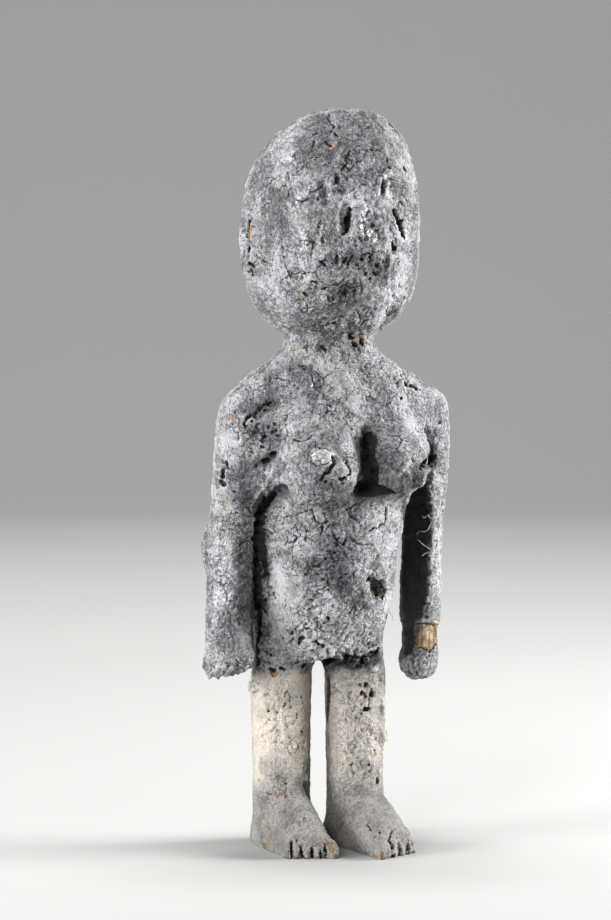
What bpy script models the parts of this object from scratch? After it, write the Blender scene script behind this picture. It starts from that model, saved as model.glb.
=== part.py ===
"""A standing female figure, carved from one piece of wood and cased in a thick dried crust.

The figure stands on its own two soles at z = 0, faces -Y and has its left side at +X.
Its overall height is a real size. Pose and carving are thousandths of that height, so
that the whole carving keeps its proportions when the height changes.
"""

import math
from dataclasses import astuple, dataclass

import bmesh
import bpy
from mathutils import Matrix, Vector

# Real sizes, in metres
FIGURE_HEIGHT = 0.280
TOE_SLIT_WIDTH = 0.0010
CRUST_STEP = 0.0013
SURFACE_STEP = 0.0013
BODY_SOFTENING = 24
FINISHED_FACES = 8300

# Head, in thousandths of the height
HEAD_MIDDLE = 846
HEAD_HALF_HEIGHT = 154
HEAD_HALF_WIDTH = 119
HEAD_HALF_DEPTH = 126
CROWN_BLOCKINESS = 2.3
JAW_BLOCKINESS = 3.05
HEAD_TURN = math.radians(-5)
CROWN_SIDE = 15
CROWN_FRONT = 24
FACE_MIDDLE = 822
FACE_HALF_WIDTH = 80
FACE_RELIEF = 7
FACE_HALF_HEIGHT = 116
EYE_HEIGHT = 872
EYE_SPREAD = 58
EYE_RADII = (23, 14, 13)
EYE_RELIEF = 5
BROW_HEIGHT = 893
BROW_SPREAD = 52
BROW_RADII = (34, 16, 10)
NOSE_TOP = 884
NOSE_TIP = 829
BRIDGE_RADII = (13, 16, 32)
BRIDGE_RELIEF = 14
NOSE_TIP_RADII = (21, 17, 12)
NOSE_TIP_RELIEF = 18
MOUTH_HEIGHT = 795
LIP_HALF_GAP = 8
LIP_RADII = (31, 15, 8)
LIP_RELIEF = 12
EAR_MIDDLE = 820
EAR_FRONT = 4
EAR_HALF_HEIGHT = 40
EAR_HALF_DEPTH = 18
EAR_RIDGE = 9
RIGHT_EAR_INSET = 2
LEFT_EAR_INSET = 9

# Trunk
NECK_HEIGHT = 688
NECK_RADIUS = 61
SHOULDER_HEIGHT = 601
CHEST_HEIGHT = 515
CHEST_HALF_DEPTH = 77
WAIST_HEIGHT = 415
WAIST_HALF_WIDTH = 95
BELLY_HEIGHT = 338
BELLY_HALF_WIDTH = 97
BELLY_HALF_DEPTH = 84
BELLY_BACK = 28
HIP_HEIGHT = 275
HIP_HALF_WIDTH = 90
HIP_BACK = 46
CRUST_EDGE_SLOPE = 0.14
BREAST_HEIGHT = 520
RIGHT_BREAST_SPREAD = 45
RIGHT_BREAST_RADIUS = 58
LEFT_BREAST_SPREAD = 61
LEFT_BREAST_RADIUS = 50
SEAT_HEIGHT = 406
SEAT_HALF_WIDTH = 139
SEAT_HALF_DEPTH = 64
SEAT_BACK = 114
SEAT_SIDE = -9
CLEFT_DEPTH = 0.24
CLEFT_HALF_WIDTH = 17
NAVEL_HEIGHT = 323
NAVEL_SIDE = -20
NAVEL_RADIUS = 13
NAVEL_RELIEF = 7
HOLE_HEIGHT = 355
HOLE_SIDE = 50
HOLE_RADIUS = 11

# Arms
SHOULDER_TOP = 628
RIGHT_SHOULDER_SPREAD = 121
RIGHT_WRIST_SPREAD = 139
RIGHT_ARM_RADIUS = 34
RIGHT_STUMP_END = 236
RIGHT_BREAK_SLOPE = math.radians(-10)
BREAK_DEPTH = 28
LEFT_SHOULDER_SPREAD = 146
LEFT_WRIST_SPREAD = 140
LEFT_ARM_RADIUS = 30
LEFT_WRIST = 300
LEFT_HAND_END = 219
ARM_BACK = 19
BARE_WRIST_LENGTH = 38

# Legs and feet
RIGHT_LEG_SPREAD = 51
LEFT_LEG_SPREAD = 47
LEG_BACK = 54
LEG_HALF_WIDTH = 43
LEG_HALF_DEPTH = 43
LEFT_FOOT_LEAD = 26
INSTEP_HEIGHT = 80
HEEL_LENGTH = 44
TOE_LENGTH = 141
TOE_SLANT = 0.40
TOE_WIDTHS = (20, 15.5, 14, 13, 11)
FOOT_HALF_WIDTH = 38
TOE_HEIGHT = 29
RIGHT_FOOT_SPLAY = math.radians(0)
LEFT_FOOT_SPLAY = math.radians(7)
SOLE_ALLOWANCE = 12

ROUND_SEGMENTS = 72
RINGS_PER_GAP = 5

figure_parts = bpy.data.collections.new("fetish_figure")
figure_cutters = bpy.data.collections.new("cutters")


@dataclass
class Ring:
    """One section of a limb, in thousandths: place along it, half sizes and centre."""

    along: float
    half_width: float
    half_depth: float
    side: float = 0.0
    front: float = 0.0


def share(thousandths):
    """A length in metres from thousandths of the figure's height."""
    return FIGURE_HEIGHT * thousandths / 1000


def clear_scene():
    """Removes whatever the scene holds and adds the two collections."""
    for old in list(bpy.data.objects):
        bpy.data.objects.remove(old, do_unlink=True)
    for collection in (figure_parts, figure_cutters):
        bpy.context.scene.collection.children.link(collection)


def crusted_wood():
    """Grey, dull, dried crust over carved wood."""
    material = bpy.data.materials.new("crusted_wood")
    material.use_nodes = True
    shader = material.node_tree.nodes["Principled BSDF"]
    shader.inputs["Base Color"].default_value = (0.21, 0.20, 0.19, 1.0)
    shader.inputs["Roughness"].default_value = 0.75
    shader.inputs["Metallic"].default_value = 0.0
    return material


def between(before, start, end, after, t):
    """Catmull-Rom value between start and end."""
    return 0.5 * (
        2 * start
        + (end - before) * t
        + (2 * before - 5 * start + 4 * end - after) * t * t
        + (3 * start - before - 3 * end + after) * t * t * t
    )


def smooth_rings(rings):
    """Rings added between the given ones, along a smooth curve through them."""
    rows = [astuple(ring) for ring in rings]
    padded = [rows[0], *rows, rows[-1]]
    result = []
    for index in range(len(rows) - 1):
        four = padded[index : index + 4]
        for step in range(RINGS_PER_GAP):
            t = step / RINGS_PER_GAP
            result.append(Ring(*(between(*values, t) for values in zip(*four))))
    result.append(rings[-1])
    return result


def loft(solid, rings, place, power=2.0):
    """Adds a closed skin over superellipse sections. place(ring, x, y) gives each point."""
    loops = []
    for ring in rings:
        loop = []
        for step in range(ROUND_SEGMENTS):
            angle = 2 * math.pi * step / ROUND_SEGMENTS
            cosine, sine = math.cos(angle), math.sin(angle)
            x = math.copysign(abs(cosine) ** (2 / power), cosine) * ring.half_width
            y = math.copysign(abs(sine) ** (2 / power), sine) * ring.half_depth
            loop.append(solid.verts.new(place(ring, x, y)))
        loops.append(loop)
    for lower, upper in zip(loops, loops[1:]):
        for step in range(ROUND_SEGMENTS):
            after = (step + 1) % ROUND_SEGMENTS
            solid.faces.new((lower[step], lower[after], upper[after], upper[step]))
    solid.faces.new(loops[0])
    solid.faces.new(loops[-1])


def standing(ring, x, y):
    """A point of a level section: along is its height, and front is towards -Y."""
    return Vector((share(ring.side + x), share(y - ring.front), share(ring.along)))


def lying(ring, x, y):
    """A point of an upright section: along is how far forward it is, and y is its height."""
    return Vector((share(ring.side + x), -share(ring.along), share(y)))


def ball(solid, centre, radii):
    """Adds an ellipsoid. Its centre and radii are in thousandths: side, front, height."""
    side, front, height = centre
    place = Matrix.Translation((share(side), -share(front), share(height)))
    size = Matrix.Diagonal((*(share(radius) for radius in radii), 1.0))
    bmesh.ops.create_uvsphere(solid, u_segments=32, v_segments=20, radius=1.0, matrix=place @ size)


def merge_into(solid, extra):
    """Moves the faces of one mesh into another."""
    mesh = bpy.data.meshes.new("moved")
    extra.to_mesh(mesh)
    solid.from_mesh(mesh)
    bpy.data.meshes.remove(mesh)
    extra.free()


def head_section(height):
    """The head's half sizes and its centre at one height, as a ring."""
    level = (height - HEAD_MIDDLE) / HEAD_HALF_HEIGHT
    power = CROWN_BLOCKINESS if level > 0 else JAW_BLOCKINESS
    size = (1 - min(abs(level), 1) ** power) ** (1 / power)
    lean = max(level, 0) ** 3
    half_width, half_depth = HEAD_HALF_WIDTH * size, HEAD_HALF_DEPTH * size
    return Ring(height, half_width, half_depth, CROWN_SIDE * lean, CROWN_FRONT * lean)


def on_face(side, height, radii, relief):
    """Centre of a ball that stands out from the front of the head by a relief."""
    ring = head_section(height)
    across = min(abs(side - ring.side) / ring.half_width, 1)
    front = ring.front + ring.half_depth * math.sqrt(1 - across**2)
    return side, front + relief - radii[1], height


def add_feature(head, side, height, radii, relief):
    """Adds a rounded feature of the face."""
    ball(head, on_face(side, height, radii, relief), radii)


def add_head(solid):
    """The tall blocky head with its low, schematic face, turned slightly to the right."""
    head = bmesh.new()
    levels = 28
    heights = (math.sin(math.pi * (level / levels - 0.5)) * 0.998 for level in range(levels + 1))
    rings = [head_section(HEAD_MIDDLE + HEAD_HALF_HEIGHT * height) for height in heights]
    loft(head, rings, standing, 2.15)
    face_radii = (FACE_HALF_WIDTH, FACE_HALF_WIDTH, FACE_HALF_HEIGHT)
    add_feature(head, 0, FACE_MIDDLE, face_radii, FACE_RELIEF)
    for side in (-1, 1):
        add_feature(head, side * EYE_SPREAD, EYE_HEIGHT, EYE_RADII, EYE_RELIEF)
        add_feature(head, side * BROW_SPREAD, BROW_HEIGHT, BROW_RADII, EYE_RELIEF)
    add_ear(head, -1, RIGHT_EAR_INSET)
    add_ear(head, 1, LEFT_EAR_INSET)
    nose_middle = (NOSE_TOP + NOSE_TIP) / 2
    add_feature(head, 0, nose_middle, BRIDGE_RADII, BRIDGE_RELIEF)
    add_feature(head, 0, NOSE_TIP, NOSE_TIP_RADII, NOSE_TIP_RELIEF)
    for lip in (-LIP_HALF_GAP, LIP_HALF_GAP):
        add_feature(head, 0, MOUTH_HEIGHT + lip, LIP_RADII, LIP_RELIEF)
    turn = Matrix.Rotation(HEAD_TURN, 4, "Z")
    bmesh.ops.transform(head, matrix=turn, verts=head.verts)
    merge_into(solid, head)


def add_ear(head, side, inset):
    """A plain oval ridge on the side of the head, its long way up."""
    sections = 20
    for section in range(sections):
        angle = 2 * math.pi * section / sections
        front = EAR_FRONT + EAR_HALF_DEPTH * math.cos(angle)
        height = EAR_MIDDLE + EAR_HALF_HEIGHT * math.sin(angle)
        ball(head, (side * (HEAD_HALF_WIDTH - inset), front, height), (EAR_RIDGE,) * 3)


def trunk_rings():
    """Sections of the trunk from inside the head to the lower edge of the crust."""
    head_base = HEAD_MIDDLE - HEAD_HALF_HEIGHT
    shoulder = (LEFT_SHOULDER_SPREAD + RIGHT_SHOULDER_SPREAD) / 2
    lean = (LEFT_SHOULDER_SPREAD - RIGHT_SHOULDER_SPREAD) / 2
    chest = CHEST_HALF_DEPTH
    return [
        Ring(head_base + 24, NECK_RADIUS - 1, NECK_RADIUS - 1, 0, -6),
        Ring(NECK_HEIGHT, NECK_RADIUS, NECK_RADIUS, 0, -6),
        Ring(NECK_HEIGHT - 22, NECK_RADIUS + 17, chest - 9, 0, -6),
        Ring(NECK_HEIGHT - 44, shoulder - 14, chest - 7, lean * 0.2, -4),
        Ring(SHOULDER_HEIGHT + 20, shoulder + 2, chest - 9, lean * 0.3, 0),
        Ring(SHOULDER_HEIGHT - 10, shoulder + 6, chest - 7, lean * 0.4, 2),
        Ring(SHOULDER_HEIGHT - 46, shoulder + 4, chest - 3, lean * 0.4, 4),
        Ring(CHEST_HEIGHT, shoulder - 6, chest, lean * 0.2, 6),
        Ring(CHEST_HEIGHT - 35, shoulder - 22, chest + 1, 0, 6),
        Ring(WAIST_HEIGHT + 40, WAIST_HALF_WIDTH + 8, chest + 3, 0, 6),
        Ring(WAIST_HEIGHT, WAIST_HALF_WIDTH, chest + 5, 0, 2),
        Ring(BELLY_HEIGHT + 40, WAIST_HALF_WIDTH, BELLY_HALF_DEPTH, 0, -BELLY_BACK + 16),
        Ring(BELLY_HEIGHT, BELLY_HALF_WIDTH, BELLY_HALF_DEPTH, 0, -BELLY_BACK),
        Ring(HIP_HEIGHT + 29, HIP_HALF_WIDTH + 2, BELLY_HALF_DEPTH - 4, 0, -HIP_BACK + 6),
        Ring(HIP_HEIGHT, HIP_HALF_WIDTH, BELLY_HALF_DEPTH - 12, 0, -HIP_BACK),
        Ring(HIP_HEIGHT - 17, HIP_HALF_WIDTH - 4, BELLY_HALF_DEPTH - 20, 0, -HIP_BACK - 4),
    ]


def hanging_crust(ring, x, y):
    """Like standing, with the lower end of the trunk sloping down to the right side."""
    low = max(0, HIP_HEIGHT + 29 - ring.along) / 46
    slope = Vector((0, 0, share(x * CRUST_EDGE_SLOPE * low)))
    return standing(ring, x, y) + slope


def seat_rings():
    """Sections of the wide, high buttocks, from inside the thighs up into the small of the back."""
    wide, deep, back, side = SEAT_HALF_WIDTH, SEAT_HALF_DEPTH, SEAT_BACK, SEAT_SIDE
    return [
        Ring(SEAT_HEIGHT - 150, wide * 0.55, deep * 0.48, 0, -back * 0.50),
        Ring(SEAT_HEIGHT - 132, wide * 0.63, deep * 0.60, 0, -back * 0.60),
        Ring(SEAT_HEIGHT - 100, wide * 0.76, deep * 0.78, side * 0.3, -back * 0.76),
        Ring(SEAT_HEIGHT - 55, wide * 0.92, deep * 0.93, side * 0.8, -back * 0.92),
        Ring(SEAT_HEIGHT, wide, deep, side, -back),
        Ring(SEAT_HEIGHT + 42, wide * 0.91, deep * 0.92, side * 0.8, -back * 0.90),
        Ring(SEAT_HEIGHT + 80, wide * 0.72, deep * 0.72, side * 0.3, -back * 0.72),
        Ring(SEAT_HEIGHT + 120, wide * 0.56, deep * 0.54, 0, -back * 0.54),
        Ring(SEAT_HEIGHT + 165, wide * 0.46, deep * 0.40, 0, -back * 0.40),
    ]


def seat_with_cleft(ring, x, y):
    """Like standing, with a crease down the middle of the back."""
    crease = CLEFT_DEPTH * math.exp(-((x / CLEFT_HALF_WIDTH) ** 2)) if y > 0 else 0
    return standing(ring, x, y * (1 - crease))


def add_breast(solid, side, size):
    """A full round breast whose upper slope runs back into the chest."""
    for lift in (0, 0.2, 0.4, 0.6, 0.8, 1.0):
        radius = size * (1 - 0.12 * lift)
        front = CHEST_HALF_DEPTH - size * (0.80 + 0.12 * lift) * lift
        ball(solid, (side, front, BREAST_HEIGHT + size * lift), (radius, radius * 0.95, radius * 0.92))


def add_trunk(solid):
    """Neck, shoulders, chest, belly and hips in one skin, with breasts and buttocks."""
    loft(solid, smooth_rings(trunk_rings()), hanging_crust, 2.2)
    loft(solid, smooth_rings(seat_rings()), seat_with_cleft, 2.2)
    add_breast(solid, -RIGHT_BREAST_SPREAD, RIGHT_BREAST_RADIUS)
    add_breast(solid, LEFT_BREAST_SPREAD, LEFT_BREAST_RADIUS)
    belly_front = BELLY_HALF_DEPTH - BELLY_BACK
    navel_front = belly_front + NAVEL_RELIEF - NAVEL_RADIUS
    ball(solid, (NAVEL_SIDE, navel_front, NAVEL_HEIGHT), (NAVEL_RADIUS,) * 3)


def add_arm(solid, side, radius, shoulder, wrist, end):
    """A straight arm at the side, from a round shoulder down to the wrist or the break."""
    top = SHOULDER_TOP
    low = (wrist - shoulder) * 0.5
    arm = [
        Ring(top, radius * 0.4, radius * 0.65, side * (shoulder - 12), -6),
        Ring(top - 12, radius * 0.9, radius * 1.15, side * (shoulder - 5), -8),
        Ring(top - 42, radius * 1.05, radius * 1.45, side * shoulder, -10),
        Ring(top - 105, radius * 1.05, radius * 1.4, side * (shoulder + low * 0.4), -12),
        Ring(top - 190, radius, radius * 1.12, side * (shoulder + low * 1.4), -ARM_BACK + 3),
        Ring(top - 270, radius, radius * 1.1, side * (shoulder + low * 1.8), -ARM_BACK),
        Ring(end, radius, radius * 1.12, side * wrist, -ARM_BACK),
    ]
    loft(solid, smooth_rings(arm), standing)


def add_arms(solid):
    """The right arm ends in a broken stump. The left one has a bare wrist and a mitten hand."""
    stump = RIGHT_ARM_RADIUS
    add_arm(solid, -1, stump, RIGHT_SHOULDER_SPREAD, RIGHT_WRIST_SPREAD, RIGHT_STUMP_END)
    flare = (-RIGHT_WRIST_SPREAD, -ARM_BACK, RIGHT_STUMP_END + 12)
    ball(solid, flare, (stump + 3, stump + 6, 24))
    wide = LEFT_ARM_RADIUS
    add_arm(solid, 1, wide, LEFT_SHOULDER_SPREAD, LEFT_WRIST_SPREAD, LEFT_WRIST - 6)
    top = LEFT_WRIST - 2
    hand = [
        Ring(top, wide - 4, wide, LEFT_WRIST_SPREAD, -ARM_BACK),
        Ring(top - 34, wide - 3, wide + 2, LEFT_WRIST_SPREAD - 1, -ARM_BACK),
        Ring(top - 52, wide - 1, wide + 5, LEFT_WRIST_SPREAD - 3, -ARM_BACK + 3),
        Ring(LEFT_HAND_END + 10, wide - 7, wide, LEFT_WRIST_SPREAD - 6, -ARM_BACK + 6),
        Ring(LEFT_HAND_END, 8, 12, LEFT_WRIST_SPREAD - 9, -ARM_BACK + 8),
    ]
    loft(solid, smooth_rings(hand), standing)


def leg_middle(side):
    """How far to the figure's left and how far forward the middle of a leg is."""
    if side > 0:
        return LEFT_LEG_SPREAD, LEFT_FOOT_LEAD - LEG_BACK
    return -RIGHT_LEG_SPREAD, -LEG_BACK


def foot_place(side):
    """Turns and moves a foot that was made pointing forward under the origin."""
    middle, front = leg_middle(side)
    splay = LEFT_FOOT_SPLAY if side > 0 else -RIGHT_FOOT_SPLAY
    place = Matrix.Translation((share(middle), -share(front), 0))
    return place @ Matrix.Rotation(splay, 4, "Z")


def toes(side):
    """Each toe's place across the foot, how far its tip reaches, and its half width."""
    half = sum(TOE_WIDTHS) / 2
    inner = -half - 1
    row = []
    for width in TOE_WIDTHS:
        middle = inner + width / 2
        row.append((side * middle, TOE_LENGTH - TOE_SLANT * (middle + half), width / 2))
        inner += width
    return row


def add_leg(solid, side):
    """A plain round leg and its flat foot with five short toes."""
    wide, deep = LEG_HALF_WIDTH, LEG_HALF_DEPTH
    middle, front = leg_middle(side)
    leg = [
        Ring(HIP_HEIGHT + 15, wide - 3, deep - 2, middle - side * 4, front),
        Ring(HIP_HEIGHT - 45, wide + 1, deep, middle, front),
        Ring(HIP_HEIGHT / 2 + 12, wide - 1, deep - 1, middle, front),
        Ring(INSTEP_HEIGHT, wide - 2, deep - 2, middle, front),
        Ring(-SOLE_ALLOWANCE, wide - 1, deep, middle, front),
    ]
    loft(solid, smooth_rings(leg), standing)
    foot = bmesh.new()
    instep = [
        Ring(-HEEL_LENGTH + 4, 26, 26),
        Ring(-HEEL_LENGTH + 14, wide - 6, INSTEP_HEIGHT * 0.65),
        Ring(0, wide - 1, INSTEP_HEIGHT + 2),
        Ring(TOE_LENGTH * 0.28, (wide + FOOT_HALF_WIDTH) / 2, INSTEP_HEIGHT),
        Ring(TOE_LENGTH * 0.48, FOOT_HALF_WIDTH, INSTEP_HEIGHT * 0.83),
        Ring(TOE_LENGTH * 0.68, FOOT_HALF_WIDTH - 1, INSTEP_HEIGHT * 0.58),
        Ring(TOE_LENGTH * 0.84, FOOT_HALF_WIDTH - 4, TOE_HEIGHT + 1),
    ]
    loft(foot, smooth_rings(instep), lying, 2.5)
    for toe, reach, radius in toes(side):
        for behind in (1.25, 3.2):
            place = (toe, reach - radius * behind, 3)
            ball(foot, place, (radius * 1.1, radius * 1.35, TOE_HEIGHT - 6 + behind))
    bmesh.ops.transform(foot, matrix=foot_place(side), verts=foot.verts)
    merge_into(solid, foot)


def carved_figure():
    """All the overlapping forms in one mesh."""
    solid = bmesh.new()
    add_head(solid)
    add_trunk(solid)
    add_arms(solid)
    for side in (-1, 1):
        add_leg(solid, side)
    bmesh.ops.recalc_face_normals(solid, faces=solid.faces)
    mesh = bpy.data.meshes.new("figure")
    solid.to_mesh(mesh)
    solid.free()
    figure = bpy.data.objects.new("figure", mesh)
    figure_parts.objects.link(figure)
    figure.data.materials.append(crusted_wood())
    return figure


def apply_modifiers(figure):
    """Replaces the object's mesh with the one that its modifiers give."""
    graph = bpy.context.evaluated_depsgraph_get()
    graph.update()
    mesh = bpy.data.meshes.new_from_object(figure.evaluated_get(graph))
    figure.modifiers.clear()
    figure.data = mesh


def grow_together(figure):
    """Makes the overlapping forms one skin with soft joins, then lightens it."""
    remesh = figure.modifiers.new("one_skin", "REMESH")
    remesh.mode = "VOXEL"
    remesh.voxel_size = SURFACE_STEP
    apply_modifiers(figure)
    limbs = figure.vertex_groups.new(name="below_the_head")
    chin = share(NECK_HEIGHT)
    toes_top = share(INSTEP_HEIGHT / 2)
    body = [vertex.index for vertex in figure.data.vertices if toes_top < vertex.co.z < chin]
    limbs.add(body, 1.0, "REPLACE")
    for name, group, rounds in (("soft_body", limbs.name, BODY_SOFTENING), ("soft_all", "", 3)):
        soften = figure.modifiers.new(name, "SMOOTH")
        soften.factor = 0.5
        soften.iterations = rounds
        soften.vertex_group = group
    lighten = figure.modifiers.new("fewer_faces", "DECIMATE")
    lighten.use_collapse_triangulate = True
    lighten.ratio = FINISHED_FACES / (2 * len(figure.data.polygons))
    apply_modifiers(figure)


def stand_over_origin(figure):
    """Moves the figure so that the middle of its box is over the origin, and says how far."""
    points = [vertex.co for vertex in figure.data.vertices]
    middle = [(min(p[axis] for p in points) + max(p[axis] for p in points)) / 2 for axis in (0, 1)]
    shift = Vector((-middle[0], -middle[1], 0))
    figure.data.transform(Matrix.Translation(shift))
    return shift


def new_cutter(name, shape):
    """A cutter object from a finished bmesh."""
    bmesh.ops.recalc_face_normals(shape, faces=shape.faces)
    mesh = bpy.data.meshes.new(name)
    shape.to_mesh(mesh)
    shape.free()
    cutter = bpy.data.objects.new(name, mesh)
    cutter.hide_render = True
    cutter.display_type = "WIRE"
    figure_cutters.objects.link(cutter)
    return cutter


def cut(solid, cutter, shift):
    """Takes the cutter's shape out of a solid, after moving the cutter along with the figure."""
    cutter.location = shift
    difference = solid.modifiers.new(cutter.name, "BOOLEAN")
    difference.operation = "DIFFERENCE"
    difference.object = cutter
    difference.solver = "EXACT"


def box_shape(centre, size, place=None):
    """A box in metres, turned and moved by place."""
    shape = bmesh.new()
    matrix = Matrix.Translation(centre) @ Matrix.Diagonal((*size, 1.0))
    bmesh.ops.create_cube(shape, size=1.0, matrix=(place or Matrix.Identity(4)) @ matrix)
    return shape


def ground_cutter():
    """Everything below the soles."""
    depth = share(100)
    return new_cutter("ground", box_shape((0, 0, -depth / 2), (share(800), share(800), depth)))


def slit_cutters():
    """The narrow slits that part the toes."""
    slit_length = share(32)
    for side, name in ((-1, "right"), (1, "left")):
        row = toes(side)
        for number, (near, far) in enumerate(zip(row, row[1:])):
            across = near[0] + side * near[2]
            reach = (near[1] + far[1]) / 2
            centre = (share(across), -share(reach + 6) + slit_length / 2, share(10))
            size = (TOE_SLIT_WIDTH, slit_length, share(60))
            shape = box_shape(centre, size, foot_place(side))
            yield new_cutter(f"toe_slit_{name}_{number + 1}", shape)


def belly_hole_cutter():
    """A chip in the crust at the lower left of the belly."""
    shape = bmesh.new()
    across = HOLE_SIDE / BELLY_HALF_WIDTH
    front = -BELLY_BACK + BELLY_HALF_DEPTH * math.sqrt(1 - across**2)
    radii = (HOLE_RADIUS, HOLE_RADIUS * 1.2, HOLE_RADIUS * 1.25)
    ball(shape, (HOLE_SIDE, front + 2, HOLE_HEIGHT), radii)
    return new_cutter("belly_hole", shape)


def break_cutter():
    """The sloping break across the end of the right arm."""
    depth = share(BREAK_DEPTH)
    centre = Vector((-share(RIGHT_WRIST_SPREAD), share(ARM_BACK), share(RIGHT_STUMP_END + 8)))
    place = Matrix.Translation(centre) @ Matrix.Rotation(RIGHT_BREAK_SLOPE, 4, "Y")
    width = 2 * share(RIGHT_ARM_RADIUS + 4)
    return new_cutter("break", box_shape((0, 0, -depth / 2), (width, width * 1.4, depth), place))


def wrist_post(name, radius, length):
    """A cutter in the shape of an upright oval post round the middle of the bare left wrist."""
    shape = bmesh.new()
    middle = share(LEFT_WRIST - BARE_WRIST_LENGTH / 2)
    centre = (share(LEFT_WRIST_SPREAD), share(ARM_BACK), middle)
    bmesh.ops.create_cone(
        shape,
        cap_ends=True,
        segments=ROUND_SEGMENTS,
        radius1=radius,
        radius2=radius,
        depth=length,
        matrix=Matrix.Translation(centre) @ Matrix.Diagonal((1.0, 1.12, 1.0, 1.0)),
    )
    return new_cutter(name, shape)


def wrist_cutter(shift):
    """A ring round the left wrist, where the crust has come away from the wood."""
    length = share(BARE_WRIST_LENGTH)
    ring = wrist_post("wrist_ring", share(LEFT_ARM_RADIUS) * 1.3, length)
    cut(ring, wrist_post("wrist_wood", share(LEFT_ARM_RADIUS) - CRUST_STEP, length * 2), shift)
    return ring


def main():
    """Builds the figure."""
    clear_scene()
    figure = carved_figure()
    grow_together(figure)
    shift = stand_over_origin(figure)
    cutters = [ground_cutter(), belly_hole_cutter(), break_cutter(), wrist_cutter(shift)]
    for cutter in (*cutters, *slit_cutters()):
        cut(figure, cutter, shift)


main()
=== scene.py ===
"""Dresses the carved standing figure: its dried crust, cracks, pits, bare wood and fibres.

The solid figure is copied, made one fine skin, given its crumbs, then its crust, and last the
marks that time left on it, with painted shade in its clefts, gaps, slits and hollows. Places that
show from the front are named by where they lie on the picture plane of the camera below, and
every size is a real one.
"""

import logging
import math
from dataclasses import dataclass
from enum import Enum

import bmesh
import bpy
import numpy as np
from mathutils import Matrix, Vector
from mathutils.bvhtree import BVHTree


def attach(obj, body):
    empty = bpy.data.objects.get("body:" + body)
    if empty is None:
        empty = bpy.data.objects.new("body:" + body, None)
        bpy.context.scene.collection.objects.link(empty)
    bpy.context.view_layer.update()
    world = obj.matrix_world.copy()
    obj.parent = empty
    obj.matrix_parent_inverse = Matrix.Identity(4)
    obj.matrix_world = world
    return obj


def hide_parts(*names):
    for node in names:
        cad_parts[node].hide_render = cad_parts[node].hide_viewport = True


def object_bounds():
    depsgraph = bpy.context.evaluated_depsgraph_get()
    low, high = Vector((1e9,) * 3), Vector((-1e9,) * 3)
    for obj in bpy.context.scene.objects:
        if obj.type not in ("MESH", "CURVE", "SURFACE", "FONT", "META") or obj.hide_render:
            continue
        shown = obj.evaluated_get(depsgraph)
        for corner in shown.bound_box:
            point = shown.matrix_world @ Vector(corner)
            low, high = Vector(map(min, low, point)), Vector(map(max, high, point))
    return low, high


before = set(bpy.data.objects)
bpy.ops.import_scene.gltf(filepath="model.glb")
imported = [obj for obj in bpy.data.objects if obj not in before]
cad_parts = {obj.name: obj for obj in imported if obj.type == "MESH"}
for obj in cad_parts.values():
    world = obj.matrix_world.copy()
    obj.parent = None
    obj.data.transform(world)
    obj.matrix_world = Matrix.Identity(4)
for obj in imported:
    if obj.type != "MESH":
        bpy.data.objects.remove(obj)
CAD_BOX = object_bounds()

log = logging.getLogger("figure")

MM = 0.001
BODY = "root"
NODE = "figure"
SEED = 11

# Patterns that bend or break up others, in metres. A bend has a size and a shift, and a patch a size.
CRACK_BENDS = ((0.0042, 0.0030), (0.0012, 0.0007))
CRACK_PATCH = 0.0095
LUMP_BEND = (0.006, 0.003)
KNOB_BEND = (0.002, 0.0014)
GRIT_SHIFT = 0.0004
PORE_PATCH = 0.007

# Where a pattern is read from, so that it doesn't follow another one of its kind.
SLATE_SHIFT = (0.3, 0.1, 0.2)
FINE_CRACK_SHIFT = (0.2, 0.4, 0.1)

# The fibres' steps in metres, their kinks per metre and the sides of their round section.
FIBRE_STEP = 0.4 * MM
FIBRE_KINKS = 420.0
FIBRE_SIDES = 6

Value = float | bpy.types.NodeSocket
Pixel = tuple[float, float]
Shift = tuple[float, float, float]
Colour = tuple[float, float, float]


@dataclass(frozen=True)
class PhotoCamera:
    """The camera and its picture plane. Pixels are counted from the upper left corner.

    Attributes:
        width: Width of the picture in pixels.
        height: Its height.
        focal_pixels: Focal length in pixels.
        axis: The point of the floor that the camera stands away from, in metres.
        azimuth: How far round that point it stands, from straight ahead of the figure.
        distance: How far from that point.
        stand_height: How high above the floor.
        pan: How far it is turned aside.
        dip: How far it looks down.
        sensor: Height of its sensor, in millimetres.
    """

    width: int = 611
    height: int = 920
    focal_pixels: float = 2690.0
    axis: Pixel = (-0.00066, -0.0045)
    azimuth: float = math.radians(-21)
    distance: float = 1.018
    stand_height: float = 0.1877
    pan: float = math.atan2(24.5, focal_pixels)
    dip: float = math.atan2(106.0, focal_pixels)
    sensor: float = 36.0

    @property
    def place(self) -> Vector:
        """Where the camera stands."""
        back = Vector((math.sin(self.azimuth), -math.cos(self.azimuth), 0)) * self.distance
        return Vector((*self.axis, self.stand_height)) + back

    @property
    def turn(self) -> Matrix:
        """How the camera is turned, as a 3 by 3 matrix."""
        upright = Matrix.Rotation(self.azimuth + self.pan, 3, "Z")
        return upright @ Matrix.Rotation(math.radians(90) - self.dip, 3, "X")

    def ray(self, pixel: Pixel) -> Vector:
        """Direction from the camera through a pixel.

        Args:
            pixel: Place on the picture plane.

        Returns:
            The unit direction in world space.
        """
        across = (pixel[0] - self.width / 2) / self.focal_pixels
        up = (self.height / 2 - pixel[1]) / self.focal_pixels
        return (self.turn @ Vector((across, up, -1.0))).normalized()

    def build(self) -> None:
        """Makes the scene's camera."""
        data = bpy.data.cameras.new("camera")
        data.sensor_width = self.sensor
        data.lens = self.sensor * self.focal_pixels / self.height
        camera = bpy.data.objects.new("camera", data)
        camera.matrix_world = Matrix.Translation(self.place) @ self.turn.to_4x4()
        bpy.context.scene.collection.objects.link(camera)
        bpy.context.scene.camera = camera


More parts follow.
